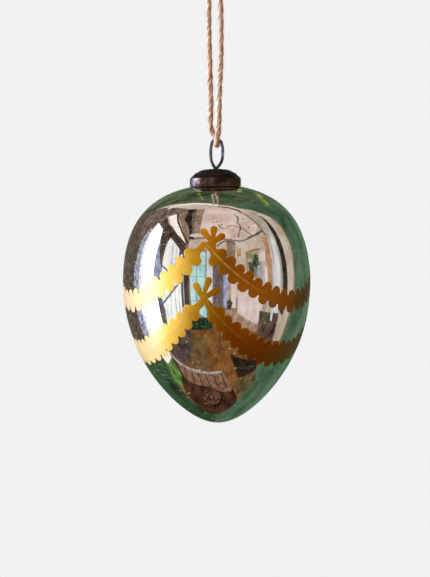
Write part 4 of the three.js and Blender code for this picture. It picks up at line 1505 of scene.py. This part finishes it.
strip("outer_rim", 3.2, "tan_wood", (112, 56, 1.5), (115, 44, 2), (114, 31, 2.5), (112, 15, 3),
      (109, 3, 3), (107, -8, 3), (103, -20, 3), (101, -31, 3))
card("blush_wall", 3.3, "blush_wall", (25, -4), (57, -8), (58, -19), (53, -28), (25, -21))
card("mauve_base", 3.2, "mauve", (10, -18), (25, -20), (54, -27), (57, -32), (30, -29), (8, -24))
card("room_plants", 3.0, "plant_shade", (54, -18), (84, -18), (86, -34), (58, -33))
card("plant_green", 2.9, "foliage", (60, -21), (66, -21), (64, -25), (59, -25))
card("plant_light", 2.9, "bluish_white", (70, -14), (74, -14), (75, -23), (72, -23))
print("with the arches:", cards_so_far(), "cards")

# %% [markdown]
# ## Ceiling
#
# A ceiling of one flat colour looks like plastic in the mirror. This one has a branching crack, a
# dark moulding where it meets the wall, and a few small stains.

# %% Ceiling
strip("branch_long", 3.6, "crack", (65, 71, 1), (62, 66, 2.2), (54, 63, 1.2), (46, 59, 1.6),
      (47, 55, 1.2), (45, 51, 2), (38, 45, 1), (34, 40, 1.6), (35, 34, 1))
strip("branch_side", 3.6, "crack", (5, 60, 1.2), (9, 55, 1.6), (12, 53, 1.2), (20, 54, 1),
      (29, 57, 1.4), (38, 54, 1), (47, 49, 1.6), (50, 44, 1), (55, 38, 1.4))
strip("ceiling_edge", 3.3, "crack", (1, 30, 1.2), (7, 34, 2), (13, 36, 1.6), (20, 35, 2.2),
      (26, 36, 1.2), (33, 34, 1.8), (40, 34, 1.2), (49, 36, 2.4), (58, 37, 2), (67, 38, 3),
      (76, 39, 2.4))
strip("ceiling_seam", 3.6, "dark_wood", (170, 83, 2), (123, 79, 2.5), (100, 72, 3), (88, 67, 2))
for azimuth, elevation in ((-5, 71), (2, 65), (-7, 64), (12, 59), (66, 61), (59, 48)):
    strip(f"stain_{azimuth}", 3.6, "crack", (azimuth - 2, elevation, 1.5),
          (azimuth + 2, elevation + 1, 1.5))
print("with the ceiling:", cards_so_far(), "cards")

# %% [markdown]
# ## Floor and stool
#
# The lower part of the egg looks down. It shows floorboards, and close below the ornament the
# round top of a wooden stool, which is nearest and so covers the rest. The stool's top is planked,
# with a pale worn edge and one large knot in the wood, whose rings are a loop with a little
# wobble.

# %% Floor of the room
card("low_shrub", 3.2, "shrub", (-35, -22), (-7, -23), (-6, -31), (-35, -31))
card("dark_boards", 3.3, "grey_boards", (-78, -36), (-35, -29), (-45, -52), (-66, -52), (-80, -43))
card("loose_plank", 3.2, "plank", (-35, -36), (-16, -36), (-18, -66), (-59, -57))
card("dark_gap", 3.3, "shade", (22, -50), (79, -46), (86, -53), (60, -66))
card("pale_rubble", 3.2, "rubble", (60, -67), (92, -53), (104, -54), (110, -62), (100, -72))
print("with the floor:", cards_so_far(), "cards")

# %% Stool
card("stool", 2.6, "stool_top", (-83, -40), (-68, -54), (-33, -66), (11, -66), (25, -69), (64, -74),
     (111, -70), (129, -67), (147, -68), (169, -69), (-169, -66), (-157, -64), (-138, -61),
     (-125, -58), (-107, -56), (-90, -55), (-81, -48))
card("stool_planks", 2.5, "stool_plank", (-82, -42), (-68, -54), (-33, -66), (11, -66), (25, -69),
     (64, -74), (80, -76), (60, -80), (20, -80), (-41, -77), (-66, -72), (-84, -64), (-88, -58),
     (-81, -48))
plank_gaps = (((-79, -47), (-88, -54)), ((-72, -53), (-88, -60)), ((-62, -59), (-82, -67)),
              ((-50, -62), (-65, -74)), ((-34, -65), (-38, -78)), ((-14, -67), (4, -80)),
              ((8, -66), (50, -78)))
for number, (top, bottom) in enumerate(plank_gaps):
    strip(f"stool_gap_{number}", 2.4, "stool_top", (*top, 0.9), (*bottom, 1.4))
strip("stool_edge", 2.4, "stool_rim", (-83, -39, 1.6), (-79, -46, 2), (-67, -55, 2.2),
      (-50, -61, 2.2), (-33, -65, 2), (-8, -66.5, 1.8), (11, -65.5, 1.5))
card("sunlit_leaves", 2.8, "bright_green", (-87, -43), (-82, -45), (-81, -50), (-90, -57),
     (-110, -57), (-114, -49), (-103, -44))
card("pale_step", 2.9, "pale_plaster", (-99, -34), (-83, -39), (-85, -44), (-100, -43), (-102, -38))
print("with the stool:", cards_so_far(), "cards")

# %% Knot in the stool's wood
wood_knot = direction(-98, -83.5)
across_knot = wood_knot.cross(Vector((0, 0, 1))).normalized()
along_knot = across_knot.cross(wood_knot)
ring_steps = 18
wood_rings = ((7.4, 2.0, "knot_wood"), (5.9, 0.8, "stool_top"), (4.5, 1.8, "knot_wood"),
              (3.0, 1.2, "shade"), (1.3, 2.2, "knot_wood"))
for number, (radius, width, wood) in enumerate(wood_rings):
    stops = []
    for i in range(ring_steps + 1):
        a = 2 * math.pi * i / ring_steps
        wobble = 1 + 0.16 * noise.noise(Vector((1.3 * math.cos(a), 1.3 * math.sin(a), number)))
        reach = math.tan(math.radians(radius * wobble))
        around = across_knot * math.cos(a) + along_knot * math.sin(a)
        spot = (wood_knot + around * reach).normalized()
        stops.append((math.degrees(math.atan2(spot.x, -spot.y)), math.degrees(math.asin(spot.z)),
                      width * (1 + 0.3 * math.cos(a + 2))))
    strip(f"knot_ring_{number}", 2.35, wood, *stops)
print("with the wood's knot:", cards_so_far(), "cards")

# %% [markdown]
# ## Garden behind the ornament
#
# The green ring round the egg's rim is a garden behind the ornament, bent right round it. A large
# sphere with a mottled green finish closes the room on all sides, with darker hedges and trees in
# front of it, and a few glints of light by the neck.

# %% Garden behind the ornament
card("hedge_low", 4.7, "dark_hedge", (-178, -14), (-160, -10), (-140, -16), (-103, -30), (-98, -46),
     (-112, -58), (-130, -64), (-160, -68), (-175, -60))
card("trees_top", 4.7, "olive_trees", (140, 68), (150, 40), (165, 14), (180, -4), (-165, -4),
     (-155, 14), (-146, 30), (-136, 50), (-146, 68), (180, 86))
card("sunlit_gap_right", 4.4, "sunlit_gap", (168, 22), (160, 28), (150, 34), (140, 40), (141, 43),
     (152, 38), (163, 31), (170, 25))
neck_glints = ((-175.2, 29), (-173, 37), (-170, 46), (-167.5, 54), (-165, 60), (173, 27), (170.5, 34))
for azimuth, level in neck_glints:
    strip(f"neck_glint_{azimuth}", 4.3, "neck_light", (azimuth - 0.9, level, 2), (azimuth, level, 4),
          (azimuth + 0.9, level, 2))

garden_distance = 5.0
garden_rows, garden_columns = 17, 33
points = [egg_middle + garden_distance * direction(azimuth, elevation)
          for elevation in np.linspace(-90, 90, garden_rows)
          for azimuth in np.linspace(-180, 180, garden_columns)]
show_in_mirror("garden", points, grid_faces(garden_rows, garden_columns), finish_named["greenery"])
print("room complete:", cards_so_far(), "cards")

# %% Finish
import json
